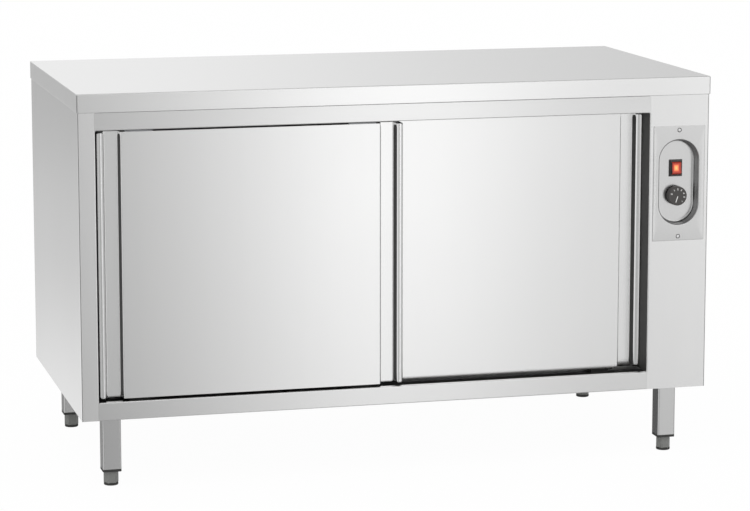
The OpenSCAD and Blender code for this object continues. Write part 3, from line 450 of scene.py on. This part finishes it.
# Door gear: a galvanised track with two lanes under the top rail, hanger plates with nylon
# rollers on it, and a black plastic guide along the bottom in which black glides run.
def moulded(name, dark, light, rough, grain_scale=700, depth_mm=0.02):
    """Moulded plastic with a fine eroded grain."""
    material, paint = new_material(name)
    grain = noise(paint, grain_scale, detail=3.0, rough=0.6)
    patches = noise(paint, 25, detail=3.0)
    surfaced(paint, {
        "Base Color": blend_colours(paint, grain * 0.5 + patches * 0.5, dark, light),
        "Roughness": rough - 0.05 + grain * 0.06 + patches * 0.05,
        "Normal": bumped(paint, grain, depth_mm, 0.6),
    })
    return material


galvanised, paint = new_material("galvanised_steel")
cells = {"Vector": object_place(paint), "Scale": 140}
flakes = paint.node("ShaderNodeTexVoronoi", {}, cells, output="Color")
flake = paint.node("ShaderNodeSeparateColor", {}, {0: flakes})
tone = flake * 0.6 + noise(paint, 30, detail=4.0) * 0.4
surfaced(paint, {
    "Metallic": 1.0,
    "Base Color": blend_colours(paint, tone, (0.42, 0.43, 0.45), (0.62, 0.63, 0.65)),
    "Roughness": 0.32 + flake * 0.14,
})
dress(galvanised, "door_track", "front_door_hangers", "rear_door_hangers", "fan_bracket")
nylon = moulded("nylon", (0.70, 0.69, 0.64), (0.80, 0.79, 0.75), 0.45)
for door in ("front", "rear"):
    dress(nylon, door + "_roller_left", door + "_roller_right")
guide_black = moulded("guide_black", (0.030, 0.030, 0.029), (0.048, 0.047, 0.045), 0.55)
dress(guide_black, "bottom_guide", "front_door_glides", "rear_door_glides")


# A thin black strip on the column's return, between the rails, behind the rear door's right end:
# painted shade on the shaded return there. It is hidden from reflections.
strip_thick, strip_sunk, strip_gap, strip_reach = 0.6, 0.1, 1, 13
front_y = box_mm("front_door_skin")[0].y - strip_reach
back_y = box_mm("rear_door_skin")[1].y
left_x, right_x = top_rail_high.x - strip_thick, top_rail_high.x + strip_sunk
column_shade_strip = upright_bar(
    "rear_door_column_shade_strip",
    [(left_x, front_y), (right_x, front_y), (right_x, back_y), (left_x, back_y)],
    low_rail_high.z + strip_gap, top_rail_low.z - strip_gap,
)
column_shade_strip.visible_glossy = False
attach(column_shade_strip, guide_black, "cabinet")


# The doors: a skin of 1.2 mm sheet that is folded at each end into a finger grip and a round lip,
# closed behind by a shallow tray and filled with board. The lip's ends are ground round. A thin
# black strip on each wall of the grips is painted shade for the dark in the grip's hollow; it is
# hidden from reflections.
def rounded(corners, steps=9):
    """A path through corners (x, y, radius), each one rounded."""
    path = [Vector(corners[0][:2])]
    for before, corner, after in zip(corners, corners[1:], corners[2:]):
        c, r = Vector(corner[:2]), corner[2]
        u = (Vector(before[:2]) - c).normalized()
        w = (Vector(after[:2]) - c).normalized()
        half = math.acos(max(-1, min(1, u.dot(w)))) / 2
        centre = c + (u + w).normalized() * (r / math.sin(half))
        start, end = (c + way * (r / math.tan(half)) - centre for way in (u, w))
        first = math.atan2(start.y, start.x)
        sweep = (math.atan2(end.y, end.x) - first + math.pi) % math.tau - math.pi
        turns = [first + sweep * i / steps for i in range(steps + 1)]
        path += [centre + r * Vector((math.cos(a), math.sin(a))) for a in turns]
    return path + [Vector(corners[-1][:2])]


def beside(path, distance):
    """The path moved to its left by a sheet's thickness."""
    ways = [(b - a).normalized() for a, b in zip(path, path[1:])]
    sides = [Vector((-w.y, w.x)) for w in ways]
    moved = []
    for i, point in enumerate(path):
        one, two = sides[max(i - 1, 0)], sides[min(i, len(sides) - 1)]
        middle = (one + two).normalized()
        moved.append(point + middle * (distance / middle.dot(one)))
    return moved


def sheet_faces(rings):
    """Points and faces of a folded sheet, whose rings run out on one face and back on the other."""
    points, faces = loft(rings, capped=False)
    n = len(rings[0])
    for first in (0, (len(rings) - 1) * n):
        last = first + n - 1
        faces += [(first + i, first + i + 1, last - 1 - i, last - i) for i in range(n // 2 - 1)]
    return points, faces


lip_wide, lip_round, skin_thick, end_round = 14, 6.2, 1.2, 4.5
grip_wide, grip_deep, grip_lean, grip_round = 37, 20, 3.5, 2.6
grip_end = lip_wide + grip_wide


def skin_ring(width, depth, z, from_end):
    """The skin's section at a height; near its ends the lips are ground round."""
    cut = max(0.0, end_round - from_end)
    cut = end_round - math.sqrt(end_round**2 - cut**2)
    outer, inner, face = cut * 0.75, cut * 0.25, cut * 0.5
    r = lip_round - (outer + inner) / 2
    half = [
        (outer, depth, 0), (outer, face, r), (lip_wide - inner, face, r),
        (lip_wide + grip_lean, grip_deep, grip_round),
        (grip_end - grip_lean, grip_deep, grip_round),
        (grip_end, 0, grip_round),
    ]
    path = rounded(half + [(width - x, y, r) for x, y, r in reversed(half)])
    return [(p.x, p.y, z) for p in path + beside(path, skin_thick)[::-1]]


strip_half, strip_round, strip_thick, strip_from_end = 8.3, 7.0, 0.7, 4.5
strip_off, strip_bevel = 0.05, 0.25
strip_layers = [(strip_off, 0), (strip_thick - strip_bevel, 0), (strip_thick, strip_bevel)]
grip_walls = {
    "inner": ((lip_wide, 0), (lip_wide + grip_lean, grip_deep)),
    "outer": ((grip_end, 0), (grip_end - grip_lean, grip_deep)),
}


def grip_strip(name, wall, width, flip, low, high):
    """A dark strip with round ends, flat on one wall of a finger grip: painted shade."""
    one, two = (Vector((width - x if flip else x, y)) for x, y in wall)
    along, centre = (two - one).normalized(), (one + two) / 2
    out = Vector((along.y, -along.x)) if along.x > 0 else Vector((-along.y, along.x))
    mid_z, half_tall = (low.z + high.z) / 2, (high.z - low.z) / 2 - strip_from_end
    half_u, half_w = strip_half - strip_round, half_tall - strip_round
    outline = []
    for su, sw, start in ((1, 1, 0), (-1, 1, 90), (-1, -1, 180), (1, -1, 270)):
        outline += arc(su * half_u, sw * half_w, strip_round, start, start + 90, 8)
    rings = []
    for off, shrink in strip_layers:
        ring = []
        for u, w in outline:
            at = centre + along * u * (1 - shrink / strip_half) + out * off
            ring.append((low.x + at.x, low.y + at.y, mid_z + w * (1 - shrink / half_tall)))
        rings.append(ring)
    return new_object(name, *loft(rings))


door_steel = brushed("door_ground_steel", 0.86, 0.17, "z")
for door in ("front", "rear"):
    low, high = box_mm(door + "_door_skin")
    size = high - low
    ends = [end_round * (1 - math.cos(math.radians(90 * i / 6))) for i in range(7)]
    stations = ends + [size.z * i / 8 for i in range(1, 8)] + [size.z - e for e in reversed(ends)]
    rings = [skin_ring(size.x, size.y, z, min(z, size.z - z)) for z in stations]
    points, faces = sheet_faces(rings)
    skin = new_object(door + "_door_face", [Vector(p) + low for p in points], faces)
    finish_piece(skin, door_steel, door + "_door", [door + "_door_skin"], 30)
    dress(lining_steel, door + "_door_back")
    for side, flip in (("left", False), ("right", True)):
        for place, wall in grip_walls.items():
            name = "%s_door_%s_grip_%s_strip" % (door, side, place)
            # Each black strip is painted shade on a grip wall.
            strip = grip_strip(name, wall, size.x, flip, low, high)
            strip.visible_glossy = False
            finish_piece(strip, guide_black, door + "_door")
board, paint = new_material("honeycomb_board")
cells = {"Vector": object_place(paint), "Scale": 90}
cells = paint.node("ShaderNodeTexVoronoi", {"feature": "DISTANCE_TO_EDGE"}, cells)
surfaced(paint, {
    "Base Color": blend_colours(paint, cells * 6, (0.30, 0.22, 0.13), (0.50, 0.40, 0.26)),
    "Roughness": 0.9,
    "Normal": bumped(paint, cells, 2.0),
})
dress(board, "front_door_filling", "rear_door_filling")


# The control plate: a sheet of 1 mm stainless, pressed into a long dish with a rolled rim and
# screwed to the column. The dish's wall takes a much darker copy of the steel: painted shade.
def stadium(x, z, r, run, y, steps=36):
    """A ring with round ends, upright, in a plane that looks along Y."""
    ring = []
    for end in (0, 1):
        for i in range(steps + 1):
            a = math.radians(180 * end + 180 * i / steps)
            ring.append((x + r * math.cos(a), y, z + (0.5 - end) * run + r * math.sin(a)))
    return ring


plate_low, plate_high = box_mm("control_plate")
plate_x = (plate_low.x + plate_high.x) / 2
plate_thick, dish_wall, rim_round, dish_lean, floor_fold = 1.0, 45.2, 3, 2, 4
dish_run, dish_mid = 97, 616.75
dish_deep = plate_high.y - plate_low.y - plate_thick
section = rounded(
    [
        (dish_wall + 2 * rim_round, 0, 0), (dish_wall, 0, rim_round),
        (dish_wall - dish_lean, dish_deep, floor_fold), (dish_wall - 3 * floor_fold, dish_deep, 0),
    ],
    8,
)


def plate_outline(y, shrink=0.0, r=1.5):
    """The plate's edge, one point for each point of the dish's ring."""
    half_x = (plate_high.x - plate_low.x) / 2 - shrink
    half_z = (plate_high.z - plate_low.z) / 2 - shrink
    mid_z = (plate_low.z + plate_high.z) / 2
    ring = []
    for px, _, pz in stadium(plate_x, dish_mid, dish_wall, dish_run, y):
        dx, dz = px - plate_x, pz - mid_z
        grow = min(half_x / abs(dx) if dx else 1e9, half_z / abs(dz) if dz else 1e9)
        ring.append([plate_x + dx * grow, y, mid_z + dz * grow])
    for sx, sz in ((1, 1), (-1, 1), (-1, -1), (1, -1)):
        corner = Vector((plate_x + sx * half_x, y, mid_z + sz * half_z))
        order = sorted(range(len(ring)), key=lambda i: (Vector(ring[i]) - corner).length)[:3]
        order.sort(key=lambda i: (abs(ring[i][0] - corner.x), -abs(ring[i][2] - corner.z)))
        for i, (dx, dz) in zip(order, [(0, r), (r * 0.3, r * 0.3), (r, 0)]):
            ring[i] = [corner.x - sx * dx, y, corner.z - sz * dz]
    return ring


def dish_rings(section):
    return [stadium(plate_x, dish_mid, p.x, dish_run, plate_low.y + p.y) for p in section]


rings = dish_rings(section)[::-1]
rings += [plate_outline(plate_low.y, 1.3), plate_outline(plate_low.y + 0.6)]
rings += [plate_outline(plate_low.y + plate_thick)] + dish_rings(beside(section, -plate_thick))
plate = new_object("pressed_control_plate", *loft(rings))
plate_steel = brushed("plate_ground_steel", 0.70, 0.2, "z")
finish_piece(plate, plate_steel, "cabinet", ["control_plate"], 40)
# The wall between rim and floor takes a dark copy of the plate's steel: painted shade.
plate.data.materials.append(brushed("dish_wall_painted_shade", 0.3, 0.26, "z"))
rim_shine, floor_shine = 0.3, 0.6
for face in plate.data.polygons:
    deep = face.center.y * 1000 - plate_low.y
    on_shaded_wall = rim_shine < deep < dish_deep - floor_shine and abs(face.normal.y) < 0.9
    face.material_index = 1 if on_shaded_wall else 0


# The plate's screws: two dome-headed screws with a cross recess, each in a cup washer that is
# pressed of thin sheet. The heads are whitened and only partly metallic, as a painted highlight,
# and the washers take the dark steel, as painted shade beside the head.
screw_finish_painted_highlight, paint = new_material("whitened_screw_painted_highlight")
swirl = noise(paint, 1500, (1, 0.2, 1), 3.0)
surfaced(paint, {
    "Metallic": 0.35,
    "Base Color": blend_colours(paint, swirl, (0.90, 0.90, 0.91), (0.97, 0.97, 0.97)),
    "Roughness": 0.12 + swirl * 0.06,
})
head_wide, head_high, shank, shank_point, screw_long = 3.6, 1.6, 2.0, 0.8, 8.0
recess_half, recess_reach, recess_deep, recess_slope, recess_wall = 0.4, 2.1, 1.0, 1.2, 0.12


def screw_head_y(x, z):
    """How far a point of the head stands out: a dome with a cross pressed into it."""
    ball = (head_wide**2 + head_high**2) / (2 * head_high)
    out = head_high - ball + math.sqrt(ball**2 - x * x - z * z)
    across, reach = min(abs(x), abs(z)), max(abs(x), abs(z))
    if across < recess_half and reach < recess_reach:
        sink = min(1, (recess_reach - reach) / recess_slope)
        out -= recess_deep * sink * min(1, (recess_half - across) / recess_wall)
    return out


def turned(x, z, profile, steps=96):
    """Rings about an axis along Y from (radius, y) pairs."""
    turns = [math.tau * i / steps for i in range(steps)]
    return [[(x + r * math.cos(a), y, z + r * math.sin(a)) for a in turns] for r, y in profile]


screw_steps, upper_screw_z, lower_screw_z = 64, 732.5, 496.5
head_radii = [0.25, 0.5, 0.75, 1.0, 1.3, 1.6, 1.9, 2.1, 2.4, 2.8, 3.2, 3.5, head_wide]
shank_profile = [(head_wide, 0.0), (shank, 0.0), (shank, screw_long - 1)]
shank_profile += [(shank - shank_point, screw_long)]
cup_profile = [
    (head_wide - 0.6, 0.0), (head_wide - 0.5, -0.75), (head_wide, -1.0), (head_wide + 0.7, -0.95),
    (head_wide + 1.1, -0.7), (head_wide + 1.4, -0.35), (head_wide + 1.5, 0.0),
]
for level, z in (("upper", upper_screw_z), ("lower", lower_screw_z)):
    rings = [
        [(plate_x + dx, plate_low.y - screw_head_y(dx, dz), z + dz) for dx, _, dz in ring]
        for ring in turned(0, 0, [(r, 0) for r in head_radii], screw_steps)
    ]
    rings += turned(plate_x, z, [(r, plate_low.y + y) for r, y in shank_profile], screw_steps)
    screw = new_object(level + "_plate_screw", *loft(rings))
    finish_piece(screw, screw_finish_painted_highlight, "cabinet", ["plate_screws"])
    # The washer's dark steel is painted shade beside the head.
    rings = turned(plate_x, z, [(r, plate_low.y + y) for r, y in cup_profile], screw_steps)
    washer = new_object(level + "_cup_washer", *loft(rings, capped=False))
    finish_piece(washer, painted_shade_steel, "cabinet", (), 40)


# The switch: a black moulded bezel and housing snapped into the dish, and a red lens that rocks
# in it and glows from a small lamp inside.
gloss_black = moulded(
    "gloss_black", (0.030, 0.030, 0.029), (0.048, 0.047, 0.046), 0.34, 900, 0.008
)
dress(gloss_black, "switch_body")
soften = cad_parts["switch_body"].modifiers.new("moulded_edges", "BEVEL")
soften.width, soften.segments, soften.limit_method = 0.0014, 4, "ANGLE"
soften.angle_limit = math.radians(30)

lens_low, lens_high = box_mm("rocker")
pivot_y, pivot_z = -326.5, 645.75
pivot = Vector(((lens_low.x + lens_high.x) / 2, pivot_y, pivot_z))
rocker_half, rocker_round, rocker_dip, rocker_tilt = 10.8, 14.0, 7.0, math.radians(-6)
face_up, face_out, bend_up, bend_out = 11.06, 8.58, 5.5, rocker_dip + 0.62
side_from, side_to = math.degrees(math.atan2(face_out, face_up)), -30
profile = [(-face_up, face_out), (-bend_up, bend_out), (0, rocker_dip), (bend_up, bend_out)]
profile += arc(0, 0, rocker_round, side_from, side_to, 14)
profile += [(-up, out) for up, out in arc(0, 0, rocker_round, side_to, side_from, 14)][:-1]
lens_stations = [(-1, 0.6), (-0.97, 0.2), (-0.92, 0), (0, 0), (0.92, 0), (0.97, 0.2), (1, 0.6)]
rings = []
for across, shrink in lens_stations:
    ring = []
    for up, out in profile:
        far = math.hypot(up, out)
        up, out = up * (far - shrink) / far, out * (far - shrink) / far
        ring.append((
            pivot.x + across * rocker_half,
            pivot.y - (out * math.cos(rocker_tilt) + up * math.sin(rocker_tilt)),
            pivot.z + up * math.cos(rocker_tilt) - out * math.sin(rocker_tilt),
        ))
    rings.append(ring)
lens_piece = new_object("rocker_lens", *loft(rings))
red_lens, paint = new_material("lit_red_lens")
bulb = (pivot.x / 1000 - 0.001, pivot.y / 1000 - 0.008, pivot.z / 1000 + 0.001)
per_metre = (120, 60, 94)
apart = object_place(paint)
apart = paint.node("ShaderNodeVectorMath", {"operation": "SUBTRACT"}, {0: apart, 1: bulb})
apart = paint.node("ShaderNodeVectorMath", {"operation": "MULTIPLY"}, {0: apart, 1: per_metre})
apart = paint.node("ShaderNodeVectorMath", {"operation": "ABSOLUTE"}, {0: apart})
apart = paint.node("ShaderNodeSeparateXYZ", {}, {0: apart})
far = {0: apart.output("X"), 1: apart.output("Z"), 2: 0.3}
far = paint.node("ShaderNodeMath", {"operation": "SMOOTH_MAX"}, far)
ribs = noise(paint, 600)
# The glow is brightest by the lamp and fades to dark red towards the lens's edges: partly the
# lamp's own falloff, partly painted shade from the bezel.
glow_and_edge_shade_stops = [
    (0.0, (1.0, 0.76, 0.26)), (0.4, (1.0, 0.48, 0.15)), (0.58, (0.80, 0.17, 0.075)),
    (0.78, (0.34, 0.05, 0.025)), (1.0, (0.14, 0.014, 0.010)),
]
surfaced(paint, {
    "Base Color": blend_colours(paint, ribs, (0.26, 0.03, 0.018), (0.36, 0.045, 0.026)),
    "Roughness": 0.16 + ribs * 0.05,
    "Emission Color": graded(paint, glow_and_edge_shade_stops, far * (0.94 + ribs * 0.12)),
    "Emission Strength": 0.85,
})
finish_piece(lens_piece, red_lens, "switch_rocker", ["rocker"])
lens_piece.data.materials.append(gloss_black)
for face in lens_piece.data.polygons:
    face.material_index = 1 if abs(face.normal.x) > 0.5 else 0


# The thermostat: a black moulded cap on a steel shaft, with white printed numbers round it and a
# line that points to the setting; behind the plate its body and a copper sensing tube.
knob_low, knob_high = box_mm("thermostat_knob")
knob_x, knob_z = (knob_low.x + knob_high.x) / 2, (knob_low.z + knob_high.z) / 2
knob_r, knob_edge, face_sunk = (knob_high.x - knob_low.x) / 2, 1.6, 0.12
knob_front, knob_back = knob_low.y, knob_high.y
knob_profile = [
    (7, knob_back - 3), (knob_r - 2.5, knob_back - 3), (knob_r - 2.5, knob_back),
    (knob_r - 0.4, knob_back), (knob_r, knob_back - 0.4), (knob_r - 0.25, knob_front + 4),
]
knob_profile += [
    (knob_r - 0.3 - knob_edge + r, knob_front + knob_edge - out)
    for r, out in arc(0, 0, knob_edge, 0, 90, 8)
]
knob_profile += [(knob_r - 3.2, knob_front), (knob_r - 3.6, knob_front + face_sunk)]
knob_profile += [(3, knob_front + face_sunk)]
knob = new_object("thermostat_cap", *loft(turned(knob_x, knob_z, knob_profile)))
knob_black = moulded(
    "knob_black", (0.050, 0.046, 0.044), (0.078, 0.073, 0.070), 0.45, 800, 0.012
)
finish_piece(knob, knob_black, "knob", ["thermostat_knob"])

print_white, paint = new_material("printed_white")
wear = noise(paint, 900, detail=3.0)
surfaced(paint, {
    "Base Color": blend_colours(paint, wear, (0.66, 0.66, 0.65), (0.88, 0.88, 0.86)),
    "Roughness": 0.5,
})
print_y, print_thick, print_bold = knob_front + face_sunk, 0.1, 0.18
mark_ring, mark_size = 15.0, 5.6
for number, degrees in enumerate((161, 123, 91, 58, 23, -10, -50)):
    letter = bpy.data.curves.new("number_%d" % number, "FONT")
    letter.body = str(number)
    letter.size = mark_size / 1000
    letter.align_x, letter.align_y = "CENTER", "CENTER"
    letter.extrude, letter.offset = print_thick / 1000, print_bold / 1000
    shape = bpy.data.objects.new("shape", letter)
    scene.collection.objects.link(shape)
    bpy.context.view_layer.update()
    depsgraph = bpy.context.evaluated_depsgraph_get()
    flat = bpy.data.meshes.new_from_object(shape.evaluated_get(depsgraph))
    bpy.data.objects.remove(shape)
    a = math.radians(degrees)
    spin = a - math.pi / 2
    for v in flat.vertices:
        u, w, out = v.co
        v.co = (
            (knob_x + mark_ring * math.cos(a)) / 1000 + u * math.cos(spin) - w * math.sin(spin),
            print_y / 1000 - out,
            (knob_z + mark_ring * math.sin(a)) / 1000 + u * math.sin(spin) + w * math.cos(spin),
        )
    flat.name = "number_%d" % number
    mark = bpy.data.objects.new("knob_number_%d" % number, flat)
    scene.collection.objects.link(mark)
    mark.data.materials.clear()
    attach(mark, print_white, "knob")
pointer_turn, pointer_from, pointer_to, pointer_half = math.radians(252), 0.5, 15.0, 0.9
tip_steps = range(0, 181, 20)
along = Vector((math.cos(pointer_turn), math.sin(pointer_turn)))
across = Vector((-along.y, along.x))
outline = [along * pointer_from + across * s * pointer_half for s in (-1, 1)]
for a in (math.radians(degrees) for degrees in tip_steps):
    tip = along * (pointer_to - pointer_half)
    outline.append(tip + (along * math.sin(a) + across * math.cos(a)) * pointer_half)
rings = [
    [(knob_x + p.x, print_y + y, knob_z + p.y) for p in outline] for y in (0.0, -print_thick)
]
pointer = new_object("knob_pointer", *loft(rings))
finish_piece(pointer, print_white, "knob")

dress(screw_finish_painted_highlight, "thermostat_shaft", "carcass_screws")
body_tan = moulded("terminal_tan", (0.42, 0.34, 0.24), (0.56, 0.47, 0.35), 0.5)
dress(body_tan, "thermostat_body", "terminal_block")
copper, paint = new_material("bare_copper")
tarnish = noise(paint, 60, detail=5.0, rough=0.7)
surfaced(paint, {
    "Metallic": 1.0,
    "Base Color": blend_colours(paint, tarnish, (0.42, 0.21, 0.13), (0.88, 0.50, 0.34)),
    "Roughness": 0.25 + tarnish * 0.2,
})
dress(copper, "thermostat_probe")


# The fan heater behind the column: a painted motor, a pressed aluminium wheel and a ring of
# sheathed heating tube. The mains lead enters through a black gland below.
motor_paint = moulded("motor_paint", (0.05, 0.055, 0.06), (0.10, 0.105, 0.11), 0.4, 300, 0.03)
dress(motor_paint, "fan_motor")
aluminium = brushed("pressed_aluminium", 0.74, 0.36, "x")
dress(aluminium, "fan_wheel")
sheath, paint = new_material("heating_sheath")
oxide = noise(paint, 45, detail=5.0, rough=0.65)
surfaced(paint, {
    "Metallic": 1.0,
    "Base Color": blend_colours(paint, oxide, (0.14, 0.12, 0.11), (0.36, 0.32, 0.28)),
    "Roughness": 0.38 + oxide * 0.2,
})
dress(sheath, "heating_element")
dress(guide_black, "cable_gland")


# Legs and feet: square stainless tube welded to a fixing plate, closed below by a black plug, in
# which a moulded hexagonal foot on a round sole is screwed up or down. The tube takes a darker
# copy of the casing's steel, with a grey specular tint that darkens it most where it is seen along
# its faces: painted shade for the shadowed floor under the cabinet that the legs reflect.
leg_steel_painted_shade = brushed("leg_tube_steel_painted_shade", 0.66, 0.2, "z")
leg_shader = leg_steel_painted_shade.node_tree.nodes["Principled BSDF"]
leg_shader.inputs["Specular Tint"].default_value = (0.42, 0.42, 0.42, 1)
dress(leg_steel_painted_shade, "leg_front_left", "leg_front_right", "leg_rear_left", "leg_rear_right")
plug_black = moulded("plug_black", (0.022, 0.022, 0.021), (0.045, 0.044, 0.042), 0.5)
dress(plug_black, "leg_inserts")
foot_grey = moulded("foot_grey", (0.17, 0.174, 0.166), (0.25, 0.254, 0.243), 0.36, 500, 0.04)
low, high = box_mm("foot_front_left")
foot_wide = (high.x - low.x) / 2
flat_half = foot_wide * math.cos(math.radians(30))
foot_soft, sole_wide, sole_high, hexagon_top = foot_wide - 0.4, foot_wide - 1, 5, 31.0
stud_wide, stud_deep, stud_pitch, thread_end = 4.95, 0.75, 1.5, 0.25


def foot_ring(z, kind, shrink=0.0, steps=72):
    """A hexagon with soft corners, a circle, or one turn of the stud's thread."""
    ring = []
    for i in range(steps):
        a = math.tau * i / steps
        if kind == "hexagon":
            r = min(foot_soft, flat_half / math.cos((a % (math.pi / 3)) - math.pi / 6)) - shrink
        elif kind == "sole":
            r = sole_wide - shrink
        else:
            phase = (z / stud_pitch - i / steps) % 1
            r = stud_wide - stud_deep * abs(2 * phase - 1)
        ring.append((r * math.cos(a), r * math.sin(a), z))
    return ring


sole = [(0, 1.2), (0.3, 0.5), (1.0, 0), (sole_high - 0.4, 0), (sole_high + 0.1, 0.4)]
hexagon = [(sole_high, 1.0), (sole_high + 0.5, 0.35), (sole_high + 1.2, 0)]
hexagon += [(hexagon_top - 1.2, 0), (hexagon_top - 0.4, 0.35), (hexagon_top, 1.1)]
sole_rings = [foot_ring(z, "sole", shrink) for z, shrink in sole]
for place, body in (
    ("front_left", "foot_a"), ("front_right", "foot_b"),
    ("rear_left", "foot_c"), ("rear_right", "foot_d"),
):
    low, high = box_mm("foot_" + place)
    middle = (low + high) / 2
    foot_rings = [foot_ring(z, "hexagon", shrink) for z, shrink in hexagon]
    thread_z = hexagon_top
    while thread_z < high.z - thread_end:
        foot_rings.append(foot_ring(thread_z, "thread"))
        thread_z += stud_pitch / 4
    for name, rings, finish, nodes in (
        ("adjusting_foot_", foot_rings, foot_grey, ["foot_" + place]),
        ("foot_sole_", sole_rings, plug_black, []),
    ):
        rings = [[(x + middle.x, y + middle.y, z) for x, y, z in ring] for ring in rings]
        foot = new_object(name + place, *loft(rings))
        finish_piece(foot, finish, body, nodes, 32)
